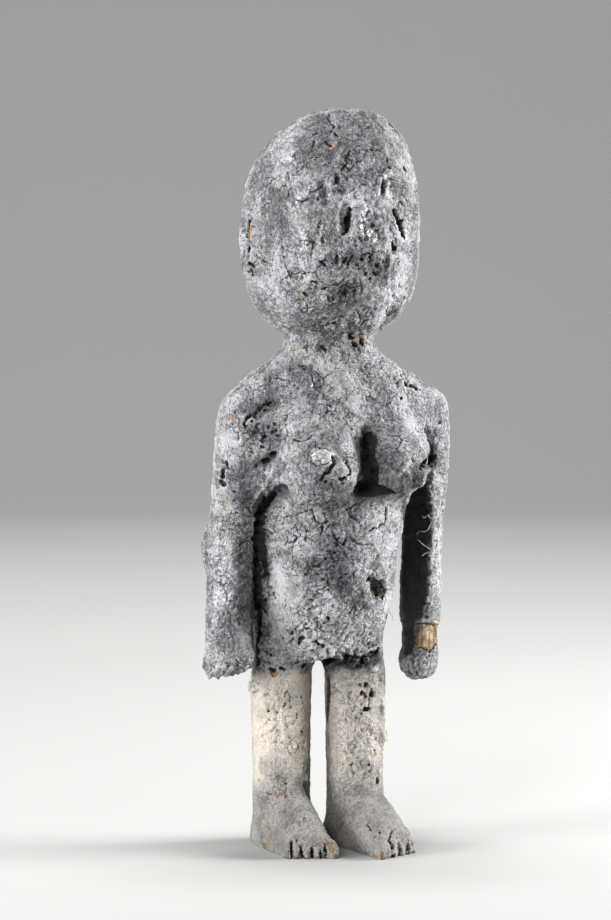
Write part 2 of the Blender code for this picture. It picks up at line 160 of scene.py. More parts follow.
class Kind(Enum):
    """What a mark does to the surface."""

    DENT = "broad smooth hollow"
    SWELL = "broad smooth rise"
    CRUMB = "crumb that stands out"
    ROUGH = "stretch of crumbly crust"
    SMOOTH = "stretch with little crust"
    PIT = "small deep hole"
    CRACK = "open crack"
    LIP = "narrow raised edge"
    # Dark paint: real dark stains, and painted shade in clefts, gaps, slits, holes and shaded sides.
    DARK = "dark stain"
    PALE = "pale ash"
    SHINE = "glossy resin"
    DUST = "cream dust"
    WOOD = "bare wood"


PAINT_LAYERS = {
    Kind.ROUGH: "rough",
    Kind.SMOOTH: "smooth",
    # The dark layer holds dark stains and painted shade.
    Kind.DARK: "dark",
    Kind.PALE: "pale",
    Kind.SHINE: "shine",
    Kind.DUST: "dust",
    Kind.WOOD: "wood",
}


@dataclass(frozen=True)
class Mark:
    """One mark on the surface.

    Attributes:
        kind: What it does.
        path: Its course on the picture plane.
        width: Half its width, in millimetres.
        depth: How deep or high it is, in millimetres, or how strong a stain or painted shade is, from 0 to
            1.
    """

    kind: Kind
    path: tuple[Pixel, ...]
    width: float
    depth: float = 1.0


def course(text: str) -> tuple[Pixel, ...]:
    """Places on the picture plane, from text such as 299 194, 317 188."""
    return tuple(tuple(float(part) for part in place.split()) for place in text.split(","))


def marks(*rows: tuple[Kind, float, float, str]) -> tuple[Mark, ...]:
    """Marks from rows that give their kind, width, depth and courses.

    Args:
        *rows: A row holds the marks of one kind, width and depth. Commas stand between the places
            of a course, and semicolons between courses.

    Returns:
        The marks, in the order of the rows.
    """
    return tuple(
        Mark(kind, course(part), width, depth)
        for kind, width, depth, courses in rows
        for part in courses.split(";")
    )


HEAD_FORMS = marks(
    (Kind.SWELL, 3.0, 0.9, "299 194, 317 188; 306 231, 306 246"),
    (Kind.SWELL, 3.0, 0.8, "325 252, 352 249; 322 274, 352 273"),
    (Kind.SWELL, 2.4, 0.7, "284 180; 292 156; 375 246, 385 247; 330 215, 330 240"),
    (Kind.SWELL, 1.5, 1.1, "340 230, 338 213, 343 202, 350 198, 356 205, 358 217, 353 233"),
    (Kind.SWELL, 1.4, 1.0, "390 170, 382 178, 378 191; 387 182, 386 192; 391 256, 387 284"),
    (Kind.SWELL, 1.3, 0.6, "262 192; 398 153; 306 181, 318 179; 241 226, 240 244, 244 262"),
    (Kind.SWELL, 1.0, 0.7, "370 233; 377 232; 366 243; 374 240; 366 251; 325 270"),
    (Kind.DENT, 6.0, 0.8, "356 163, 382 166; 345 300, 372 304"),
    (Kind.DENT, 3.0, 1.3, "323 185, 328 200"),
    (Kind.DENT, 1.8, 0.9, "337 175, 337 182; 349 211, 347 220, 345 230"),
    (Kind.DENT, 2.2, 1.0, "396 212, 400 222, 404 234"),
    (Kind.DENT, 5.0, 1.0, "356 114, 368 117"),
    (Kind.DENT, 4.0, 1.0, "364 212, 374 214; 365 226, 380 238; 312 289, 350 293"),
    (Kind.DENT, 4.2, 1.2, "366 260, 375 268"),
    (Kind.DENT, 2.0, 0.5, "322 264, 329 261; 314 246, 313 258"),
    (Kind.DENT, 7.0, 1.8, "395 311, 386 326"),
    (Kind.DENT, 1.7, 1.8, "247 222, 244 231, 246 242, 248 257"),
    (Kind.DENT, 2.6, 0.9, "350 338, 364 342; 394 244, 396 250"),
)

BODY_FORMS = marks(
    (Kind.DENT, 2.4, 3.2, "368 430, 367 444, 368 458"),
    (Kind.DENT, 3.6, 3.6, "369 464, 369 476, 368 486"),
    (Kind.DENT, 2.6, 2.6, "357 488, 372 490, 386 493"),
    (Kind.SWELL, 2.2, 0.8, "309 389, 327 405, 343 418, 352 430, 359 439"),
    (Kind.DENT, 3.4, 1.0, "270 403, 258 412, 246 421; 258 430, 276 444"),
    (Kind.DENT, 5.0, 0.7, "298 430, 306 432; 312 572, 340 584; 246 478, 250 496"),
    (Kind.SWELL, 1.6, 1.3, "277 466, 270 477, 263 488, 256 498"),
    (Kind.DENT, 2.2, 1.5, "272 453, 266 461; 282 466, 276 478; 221 480, 225 464"),
    (Kind.DENT, 2.6, 2.6, "262 512, 267 502, 273 495, 284 489"),
    (Kind.SWELL, 4.0, 1.0, "319 455, 326 455"),
    (Kind.SWELL, 2.8, 0.7, "342 466, 343 472; 340 538, 334 545; 365 600, 376 606"),
    (Kind.DENT, 2.4, 1.7, "428 428, 432 442, 434 455; 424 466, 433 462"),
    (Kind.SWELL, 2.0, 1.4, "404 534, 407 535"),
    (Kind.DENT, 2.8, 1.6, "374 584, 380 592"),
    (Kind.SWELL, 7.0, 0.7, "375 540, 392 545"),
    (Kind.SWELL, 1.5, 1.1, "263 562, 264 568; 262 640, 262 656"),
    (Kind.DENT, 2.2, 0.9, "326 618; 301 640; 320 646; 407 383, 416 386; 318 529, 334 528"),
    (Kind.DENT, 3.4, 2.4, "330 664, 346 662, 360 664, 380 658"),
    (Kind.DENT, 5.0, 2.2, "416 486, 416 540, 413 606"),
    (Kind.SWELL, 1.5, 0.7, "432 476, 432 540, 429 606"),
)

LEG_FORMS = marks(
    (Kind.SWELL, 2.8, 1.6, "252 686, 252 690; 382 732, 383 740"),
    (Kind.SWELL, 1.5, 1.1, "383 677, 382 680; 383 706, 383 711; 307 776, 307 780"),
    (Kind.DENT, 1.4, 1.1, "306 785, 307 789"),
    (Kind.SWELL, 1.5, 0.6, "276 796, 288 795; 262 792, 270 789; 354 783, 374 781"),
    (Kind.SWELL, 6.0, 0.5, "274 708, 292 728, 286 744"),
    (Kind.SWELL, 1.4, 0.7, "296 845, 297 861; 306 851, 307 861; 317 851, 318 861"),
    (Kind.SWELL, 1.3, 0.7, "395 845, 396 860; 403 849, 404 859; 410 848, 410 858"),
    (Kind.SWELL, 1.9, 0.6, "333 848, 334 860; 287 847, 288 861; 380 849, 382 860"),
    (Kind.DENT, 1.6, 0.5, "293 837, 298 840, 307 840"),
)

ROUGH_PLACES = marks(
    (Kind.ROUGH, 4.5, 1.0, "203 660, 206 672, 222 674, 238 672, 247 662"),
    (Kind.ROUGH, 5.0, 1.0, "258 430, 276 444; 220 480, 225 462; 325 322, 356 325"),
    (Kind.ROUGH, 3.4, 0.9, "270 403, 258 412, 246 421; 276 456, 262 470, 262 500, 274 494"),
    (Kind.ROUGH, 2.6, 0.9, "431 470, 431 520, 430 560, 428 600, 424 616; 262 548, 263 566, 268 582"),
    (Kind.ROUGH, 3.2, 1.0, "262 664, 280 669, 300 662, 316 657, 330 653, 345 651, 362 654, 378 643"),
    (Kind.ROUGH, 3.0, 1.0, "338 657, 352 662, 368 664; 264 640, 262 660; 346 337, 364 343"),
    (Kind.ROUGH, 4.0, 0.8, "316 612, 332 620; 294 634, 302 646; 314 648, 326 650, 345 640"),
    (Kind.ROUGH, 3.2, 0.9, "252 684, 262 692; 364 684, 368 700, 364 712; 402 668, 415 677, 430 668"),
    (Kind.ROUGH, 4.5, 0.8, "272 704, 292 712, 280 730, 290 744; 344 722, 350 742, 352 764"),
    (Kind.ROUGH, 2.4, 0.9, "383 700, 386 735, 380 772; 262 794, 286 796; 306 740, 304 776"),
    (Kind.ROUGH, 2.6, 0.9, "247 215, 244 240, 251 272"),
    (Kind.ROUGH, 4.5, 0.7, "325 262, 352 260, 380 268; 322 292, 345 296, 372 312; 334 538, 346 545"),
    (Kind.ROUGH, 5.0, 0.6, "362 215, 376 236; 306 570, 330 575, 346 590; 384 470, 400 488"),
    (Kind.ROUGH, 1.6, 0.8, "296 841, 308 842; 366 826, 386 832"),
    (Kind.ROUGH, 6.0, 1.0, "408 662, 428 664; 306 606, 334 608; 288 640, 340 640"),
    (Kind.ROUGH, 7.0, 0.7, "268 700, 296 706, 276 728, 296 744; 344 690, 364 720, 362 770"),
    (Kind.ROUGH, 6.0, 0.45, "266 780, 296 800, 300 830; 350 800, 384 836"),
)

CRUMBS = marks(
    (Kind.CRUMB, 1.3, 0.4, "340 656, 341 661; 348 661, 353 664; 353 657, 355 661"),
    (Kind.CRUMB, 1.1, 0.4, "366 658, 367 667; 371 669, 375 670; 252 686, 251 690"),
    (Kind.CRUMB, 1.0, 0.3, "318 656, 326 654; 376 645, 372 648; 204 660, 203 668; 381 678, 383 680"),
    (Kind.CRUMB, 1.5, 0.0, "384 731, 385 735, 384 739; 253 684, 252 688, 253 693"),
    (Kind.CRUMB, 0.8, 0.3,
        "210 675; 218 677; 228 677; 238 675; 246 668; 382 705, 382 709; 263 551; 262 560; 263 567; 265 "
        "574; 262 645; 261 655; 332 652"),
    (Kind.CRUMB, 0.7, 0.3,
        "350 652; 358 654; 368 649; 340 651; 300 662; 286 668; 406 533; 431 484; 431 500; 430 519; 431 "
        "538; 430 556; 429 580; 427 600"),
)

# Paint on the crust. The dark rows hold real dark and bluish stains and painted shade, as the rows below
# say.
STAINS_AND_PAINTED_SHADE = marks(
    (Kind.DARK, 5.0, 0.8, "303 370, 316 388; 262 430, 276 442; 250 474, 248 496"),
    # Painted shade in the right armpit.
    (Kind.DARK, 4.5, 0.9, "262 512, 268 500, 282 490"),
    (Kind.DARK, 4.0, 0.8, "270 403, 256 413; 272 453, 264 462; 322 484, 344 488"),
    # Painted shade in the cleft between the breasts.
    (Kind.DARK, 5.0, 1.0, "369 440, 368 486; 360 489, 384 492"),
    (Kind.DARK, 6.0, 0.6, "386 474, 402 484; 384 452, 396 458; 334 505, 350 530"),
    (Kind.DARK, 7.0, 0.7, "316 568, 334 576, 344 586; 340 540, 342 556"),
    # Rows to 329: painted shade in the gap between the right arm and flank, on the inner side of the left
    # arm, beside the bare wood at the wrist, under the crust's lower edge, beside the left leg and in the
    # cleft.
    (Kind.DARK, 3.6, 0.9, "256 540, 254 600, 254 644; 332 662, 360 663, 380 658"),
    (Kind.DARK, 5.4, 1.0, "419 472, 420 500, 420 560, 416 612"),
    (Kind.DARK, 2.2, 0.7, "416 628, 413 640"),
    (Kind.DARK, 2.6, 1.0, "262 508, 258 530, 258 580, 258 640, 254 664"),
    (Kind.DARK, 4.0, 1.0, "406 480, 405 560, 405 630; 412 500, 411 560, 410 612, 408 650"),
    (Kind.DARK, 2.2, 1.0, "333 662, 346 661, 362 665, 380 656; 328 680, 326 720"),
    (Kind.DARK, 3.2, 1.0, "366 440, 368 458; 364 486, 380 490; 430 458, 429 464"),
    (Kind.PALE, 9.0, 1.0, "258 690, 290 684, 304 690; 262 720, 262 770; 292 700, 292 760"),
    (Kind.PALE, 8.0, 0.6, "300 215, 310 252; 320 600, 290 640, 340 630"),
    (Kind.DUST, 8.0, 1.0, "262 690, 296 686; 254 700, 254 800, 256 846; 332 740, 334 800, 346 836"),
    (Kind.DUST, 5.0, 0.9, "268 790, 292 796; 286 712, 290 724; 296 824, 322 832; 348 848, 384 852"),
    # Painted shade in the toe slits.
    (Kind.DARK, 0.65, 1.0,
        "291 842, 292 852, 293 864; 301 849, 302 864; 312 850, 313 863; 321 852, 322 864; 325 843, 326 "
        "851, 327 864; 389 841, 390 850, 391 863"),
    (Kind.DARK, 0.6, 1.0, "400 846, 401 862; 406 845, 407 860; 413 846, 414 860"),
    (Kind.DARK, 6.0, 0.7, "238 478, 248 500; 300 372, 314 384; 386 470, 398 484; 268 432, 272 440"),
    (Kind.DARK, 5.0, 0.6, "322 548, 340 562, 344 584; 264 768, 280 776; 242 560, 246 620"),
    # Painted shade on the left side of the wrist and hand.
    (Kind.DARK, 4.2, 0.7, "407 630, 404 650"),
    (Kind.DARK, 7.0, 0.55, "352 162, 380 166; 345 135, 372 140; 350 300, 366 310"),
    # Rows to 348: dark stains on the face, with painted shade in the eye creases, the nasal root, the eye
    # hole, the nose slot and the ear.
    (Kind.DARK, 3.4, 0.8, "322 186, 328 200; 364 211, 374 215; 365 228, 380 240"),
    (Kind.DARK, 1.6, 0.8, "337 176, 338 184, 343 190; 328 192, 340 192"),
    (Kind.DARK, 9.0, 0.45, "328 124, 352 126; 330 172, 372 172; 310 140, 350 146"),
    (Kind.DARK, 4.6, 0.8, "365 258, 371 263, 374 272; 340 293, 350 297"),
    (Kind.DARK, 3.0, 0.4, "322 264, 338 260, 352 258; 318 272, 322 290"),
    (Kind.DARK, 1.6, 0.7, "397 212, 404 234; 348 210, 345 231; 246 224, 246 244; 383 184, 382 196"),
    (Kind.DARK, 3.4, 0.75, "364 226, 378 228, 381 240, 366 242; 352 172, 372 176"),
    (Kind.DARK, 6.0, 0.35,
        "272 765, 282 774; 280 812, 300 826, 318 830; 362 792, 376 806; 286 698, 296 694"),
    (Kind.DARK, 3.0, 0.5, "280 825, 290 827; 354 345, 362 344"),
    (Kind.PALE, 6.0, 0.9, "404 262, 403 300; 388 300, 386 318; 375 540, 392 545; 390 600, 386 618"),
    (Kind.PALE, 5.0, 0.8, "232 440, 226 456; 356 425, 350 445; 400 400, 420 440; 318 455, 327 456"),
    (Kind.PALE, 3.6, 0.7, "307 690, 305 740, 302 770; 254 706, 255 770; 440 480, 438 600"),
    (Kind.PALE, 2.0, 0.8, "296 845, 297 861; 317 851, 318 861; 395 845, 396 860; 416 845, 417 857"),
    (Kind.DUST, 8.0, 0.7, "310 350, 345 352, 340 378; 276 590, 282 640; 268 512, 300 504"),
    (Kind.PALE, 9.0, 0.8, "286 580, 286 645, 330 638; 330 365, 360 395"),
    (Kind.DUST, 6.0, 0.6, "222 500, 224 540; 206 660, 236 668; 280 650, 300 640, 330 640"),
    (Kind.DUST, 4.0, 0.7, "300 290, 306 300; 264 548, 264 572; 330 765, 336 775; 252 800, 254 840"),
    (Kind.SHINE, 4.0, 1.0, "317 455, 328 456; 303 370, 316 386; 384 474, 398 486"),
    (Kind.SHINE, 2.4, 1.0, "389 172, 380 180, 377 192; 387 182, 386 192; 365 228, 380 240"),
    (Kind.SHINE, 3.0, 0.9, "298 196, 316 190; 306 232, 306 246; 292 156; 322 186, 328 200"),
    (Kind.SHINE, 3.0, 0.8, "362 164, 380 160; 372 210, 366 216; 316 553, 318 556; 402 224, 406 236"),
    (Kind.SHINE, 1.6, 0.9, "287 538, 288 543, 294 543, 296 538; 282 178, 286 184"),
    (Kind.SHINE, 5.0, 0.6, "224 545, 222 600; 340 515, 336 525; 250 478, 252 490"),
    (Kind.WOOD, 2.6, 1.0, "426 629, 433 629; 422 637, 433 637"),
    (Kind.WOOD, 1.5, 1.0, "414 642, 420 645; 428 643, 430 649; 435 626, 435 642"),
    (Kind.WOOD, 1.1, 0.9, "248 227, 249 237; 333 143, 335 144; 373 585, 375 594; 271 672, 273 675"),
    (Kind.WOOD, 0.9, 0.8, "232 415, 232 419; 375 752, 376 754; 267 823, 267 828; 357 338, 359 339"),
    (Kind.WOOD, 4.0, 0.3, "284 680, 290 686"),
    (Kind.WOOD, 1.0, 0.8,
        "277 795; 286 796; 266 558, 267 563, 266 568; 382 854, 382 858; 287 853, 286 859"),
    (Kind.WOOD, 0.9, 1.0,
        "305 857, 306 862; 317 858, 317 863; 329 843, 332 851; 262 844, 266 846; 372 855, 376 858"),
    (Kind.WOOD, 0.8, 1.0,
        "297 858, 298 863; 324 857, 324 863; 336 856, 337 861; 272 672, 276 674; 280 795"),
)

HEAD_MARKS = marks(
    (Kind.CRACK, 0.55, 1.1, "330 112, 327 117, 330 121, 334 126, 331 130; 335 132, 338 135"),
    (Kind.CRACK, 0.55, 1.0, "314 134, 318 132; 314 141, 312 146; 326 141, 328 144, 331 145"),
    (Kind.CRACK, 0.5, 0.9, "350 150, 349 154, 346 158, 348 162, 346 165, 342 169"),
    (Kind.CRACK, 0.4, 0.5,
        "360 150, 371 149, 380 150, 387 157, 396 162; 323 166, 327 164, 331 163; 292 174, 300 169, 307 "
        "162; 353 167, 348 172; 300 268, 306 276"),
    (Kind.CRACK, 0.45, 0.8,
        "286 171, 288 176, 289 182, 287 186, 282 186; 288 190, 287 196, 285 199; 268 203, 263 206, 260 "
        "209, 261 214, 259 217; 255 205, 257 207"),
    (Kind.CRACK, 0.5, 0.8, "253 252, 257 257, 262 261, 266 262, 270 265"),
    (Kind.CRACK, 0.4, 0.5, "280 238, 282 250, 284 263, 286 269, 290 278; 317 227, 319 223, 321 220"),
    (Kind.CRACK, 0.45, 0.7, "294 200, 298 201, 303 203, 307 200; 310 192, 316 191, 320 188, 323 184"),
    (Kind.CRACK, 0.45, 1.1, "384 181, 384 188, 383 195"),
    (Kind.CRACK, 0.35, 0.7, "313 243, 312 250, 311 258; 320 222, 318 234"),
    (Kind.CRACK, 0.5, 0.9, "407 200, 413 201; 313 331, 321 333; 358 313, 360 318; 322 290, 330 289"),
    # Pits, cut and painted black inside as painted shade, in the nose slot, the eye hole and elsewhere.
    (Kind.PIT, 0.6, 1.2, "349 208, 348 214; 345 228, 343 234; 395 210, 398 216; 404 231, 406 238"),
    (Kind.PIT, 0.8, 1.8, "348 216, 347 219; 346 226, 345 228; 399 218, 400 221"),
    (Kind.PIT, 1.2, 2.2, "347 219, 347 224; 402 223, 403 228"),
    (Kind.PIT, 0.6, 1.0, "337 177, 337 182; 390 310, 391 320"),
    (Kind.PIT, 0.8, 1.2, "405 234, 406 238; 405 167, 407 170; 394 243, 396 249; 391 124, 394 127, 397 130"),
    (Kind.PIT, 0.55, 1.0, "337 256, 336 263; 343 262, 347 258; 348 263, 353 256; 322 262, 325 266"),
    (Kind.CRACK, 0.4, 0.7,
        "334 192, 340 190, 347 193; 392 230, 396 238, 399 246; 360 258, 366 254, 374 256"),
    (Kind.PIT, 0.55, 0.9, "396 212, 398 216; 398 219, 399 223; 360 240; 356 246; 364 233; 374 226"),
    (Kind.PIT, 0.7, 1.0,
        "312 282, 316 283; 328 297, 330 302; 303 294, 306 296; 333 323, 337 324; 366 274; 370 279; 375 "
        "268; 380 266; 363 259; 371 258; 384 262; 377 275"),
    (Kind.PIT, 0.6, 0.8, "390 167; 347 306; 322 239, 323 242; 358 265; 340 292; 346 296; 270 235; 313 121"),
    (Kind.PIT, 0.8, 1.3, "247 224, 244 230, 245 236; 248 248, 248 251; 250 264, 253 266; 252 270, 252 275"),
    (Kind.PIT, 0.8, 1.2, "348 336, 354 339; 353 342, 356 345; 362 340, 364 345; 323 346, 325 349"),
)

BODY_MARKS = marks(
    (Kind.CRACK, 0.55, 1.0, "271 402, 263 405, 258 412, 252 415, 246 419, 244 424"),
    (Kind.PIT, 0.6, 1.0, "268 405; 259 409; 255 416; 248 417; 245 426; 264 410; 252 421"),
    (Kind.CRACK, 0.5, 0.8, "291 438, 298 440, 307 438, 313 433"),
    (Kind.CRACK, 0.8, 1.5,
        "334 457, 335 463, 332 467, 329 473, 323 477, 322 480; 348 461, 349 467, 352 471, 350 475, 346 "
        "478, 341 480"),
    (Kind.CRACK, 0.4, 0.5, "310 450, 307 458, 316 466, 328 464, 333 457; 313 452, 322 447, 331 450"),
    (Kind.CRACK, 0.5, 1.0, "427 420, 430 436, 432 442, 434 449, 434 456; 413 458, 415 461"),
    (Kind.PIT, 1.1, 1.6, "432 456, 427 463; 428 464, 423 468"),
    (Kind.CRACK, 0.5, 0.8, "311 510, 314 515, 316 522, 323 525, 328 522; 323 525, 323 529, 321 534"),
    (Kind.CRACK, 0.4, 0.6, "321 506, 332 502; 348 510, 354 506, 357 503; 348 512, 351 517, 357 520"),
    (Kind.CRACK, 0.4, 0.5, "280 517, 291 517, 302 513, 309 511; 323 513, 328 522; 343 418, 351 429"),
    (Kind.CRACK, 0.5, 0.9, "370 531, 374 528, 378 528, 381 525, 385 524, 386 517, 386 508"),
    (Kind.CRACK, 0.4, 0.6,
        "350 538, 357 544, 363 546, 370 544; 388 530, 392 533; 370 580, 372 575, 374 572"),
    (Kind.CRACK, 0.5, 0.7, "334 535, 338 542, 344 545, 347 538; 287 537, 288 543, 294 543, 296 538"),
    (Kind.CRACK, 0.8, 1.4, "269 670, 275 670; 281 669, 285 669; 293 665, 299 662; 303 667, 308 664"),
    (Kind.PIT, 1.2, 1.5, "270 456, 274 453; 263 461, 266 460; 430 463, 434 458"),
    # Rows to 436: deep cuts in the cleft, the gap between the right arm and flank and under the crust's
    # lower edge, painted black inside as painted shade.
    (Kind.PIT, 1.5, 2.4, "368 432, 367 444, 367 456"),
    (Kind.PIT, 2.6, 2.8, "371 467, 371 478"),
    (Kind.PIT, 1.6, 2.2, "359 487, 370 488, 382 490"),
    (Kind.PIT, 1.0, 1.6, "384 491, 394 494"),
    (Kind.PIT, 1.8, 3.2, "266 500, 259 515, 256 540, 256 580, 258 620, 257 662"),
    (Kind.PIT, 1.9, 2.6, "320 662, 334 660, 347 658, 361 661, 378 653"),
    (Kind.PIT, 1.0, 1.5, "222 472, 221 477; 219 482, 223 484; 225 462, 226 467; 268 500, 272 495"),
    (Kind.PIT, 0.8, 1.2, "262 441; 274 424; 276 431; 277 435; 272 432; 262 447; 264 436; 268 427; 255 432"),
    (Kind.PIT, 0.7, 1.0, "326 482; 330 406; 402 398; 319 380; 234 412; 231 424; 302 365, 307 367"),
    (Kind.PIT, 0.9, 1.4, "406 382, 409 384; 414 385, 417 388; 328 619, 329 621; 300 640, 303 639"),
    (Kind.PIT, 1.0, 2.6, "369 581, 375 581, 380 585, 383 591, 383 598"),
    (Kind.PIT, 0.7, 1.0, "317 618; 324 624; 299 644; 319 645; 323 647; 316 642; 292 634; 270 655"),
    (Kind.PIT, 0.6, 0.8, "314 567, 320 567; 326 559; 334 567; 340 580; 328 590; 346 575; 345 540; 337 545"),
    (Kind.LIP, 0.8, 0.7, "417 622, 424 621, 431 622, 439 623; 436 626, 437 640"),
    # A thin cut under that edge and along the wood's lower rim, painted black inside as painted shade.
    (Kind.CRACK, 0.5, 0.9,
        "416 624, 424 624, 432 625, 438 625; 413 641, 417 648, 422 647, 429 652, 437 644"),
    (Kind.LIP, 0.7, 0.5, "248 421, 255 416, 262 409; 314 513, 317 521; 287 539, 289 545, 295 544"),
)

LEG_MARKS = marks(
    (Kind.PIT, 0.9, 1.5, "366 684, 366 686; 362 693, 364 694; 372 693, 372 695; 365 709, 368 710"),
    (Kind.PIT, 0.6, 0.9, "366 697; 375 750; 369 765; 370 772; 268 711; 304 703; 258 780; 380 832"),
    (Kind.PIT, 0.9, 1.4, "378 779, 378 782; 271 669, 273 671"),
    (Kind.CRACK, 0.45, 0.7, "298 711, 297 718; 295 721, 293 724; 284 706, 286 703; 266 792, 270 794"),
    (Kind.CRACK, 0.5, 0.9, "392 830, 391 835, 389 838; 302 731, 305 735; 366 824, 370 829"),
    # Toe slits, cut deep and painted black inside as painted shade.
    (Kind.CRACK, 0.5, 2.4, "291 840, 292 852, 293 864; 312 848, 313 863; 389 839, 390 850, 391 863"),
    (Kind.CRACK, 0.48, 2.2, "301 847, 302 864; 325 842, 326 851, 327 864; 400 844, 401 862"),
    (Kind.CRACK, 0.45, 1.9, "321 851, 322 864; 406 843, 407 860; 413 844, 414 860"),
)


@dataclass(frozen=True)
class CrustFinish:
    """Colours, gloss and patterns of the dried crust. Sizes are in metres.

    Attributes:
        name: The material's name.
        ash: The pale crust.
        grey: The crust between.
        slate: The dark, bluish patches, and the colour of the dark layer's stains and painted shade.
        dust: The cream dust in its hollows.
        warm_ash: The pale crust on the legs.
        warm_grey: The crust between on the legs.
        chalk: The palest crust on the legs.
        wood: Bare wood.
        old_wood: The dark grain of bare wood.
        crack: Near-black painted shade inside cracks, pits and pores, in deep hollows and under the darkest
            marks.
        roughness: How rough the dull crust is.
        gloss: How rough the glossy spots are.
        coat: How strong the clear coat of the glossy spots is.
        coat_roughness: How rough that coat is.
        grit_size: Size of a granule.
        grit_height: How high the granules stand.
        broad_size: Size of the broad pale and dark patches.
        middle_size: Size of the smaller ones.
        dust_size: Size of the dusty patches.
        slate_size: Size of the slate patches.
        rag_size: Size of the rags in the outline of a groove.
        tear_size: Size of the rags in the outline of bare wood.
        streak_size: Width of a streak of wood grain.
        glint_size: Size of a glint.
        cracks: Spacing and half width of the cracks between plates.
        fine_cracks: The same for the finer cracks.
    """

    name: str = "crusted_wood"
    ash: Colour = (0.425, 0.435, 0.460)
    grey: Colour = (0.064, 0.069, 0.082)
    slate: Colour = (0.026, 0.028, 0.034)
    dust: Colour = (0.50, 0.425, 0.315)
    warm_ash: Colour = (0.47, 0.445, 0.415)
    warm_grey: Colour = (0.19, 0.18, 0.17)
    chalk: Colour = (0.64, 0.59, 0.52)
    wood: Colour = (0.60, 0.44, 0.25)
    old_wood: Colour = (0.15, 0.08, 0.04)
    crack: Colour = (0.012, 0.011, 0.010)
    roughness: float = 0.62
    gloss: float = 0.24
    coat: float = 0.5
    coat_roughness: float = 0.22
    grit_size: float = 0.00055
    grit_height: float = 0.0008
    broad_size: float = 0.016
    middle_size: float = 0.0045
    dust_size: float = 0.006
    slate_size: float = 0.011
    rag_size: float = 0.0012
    tear_size: float = 0.0022
    streak_size: float = 0.0009
    glint_size: float = 0.0008
    cracks: tuple[float, float] = (0.0075, 0.00016)
    fine_cracks: tuple[float, float] = (0.0028, 0.00013)


@dataclass(frozen=True)
class FibreFinish:
    """Colour of the dry plant fibres."""

    name: str = "plant_fibre"
    pale: Colour = (0.60, 0.57, 0.50)
    dark: Colour = (0.16, 0.14, 0.11)
    roughness: float = 0.85
    grit_size: float = 0.0005


@dataclass(frozen=True)
class FloorFinish:
    """Colour of the plain pale floor."""

    name: str = "floor"
    colour: Colour = (0.33, 0.33, 0.325)
    roughness: float = 0.9


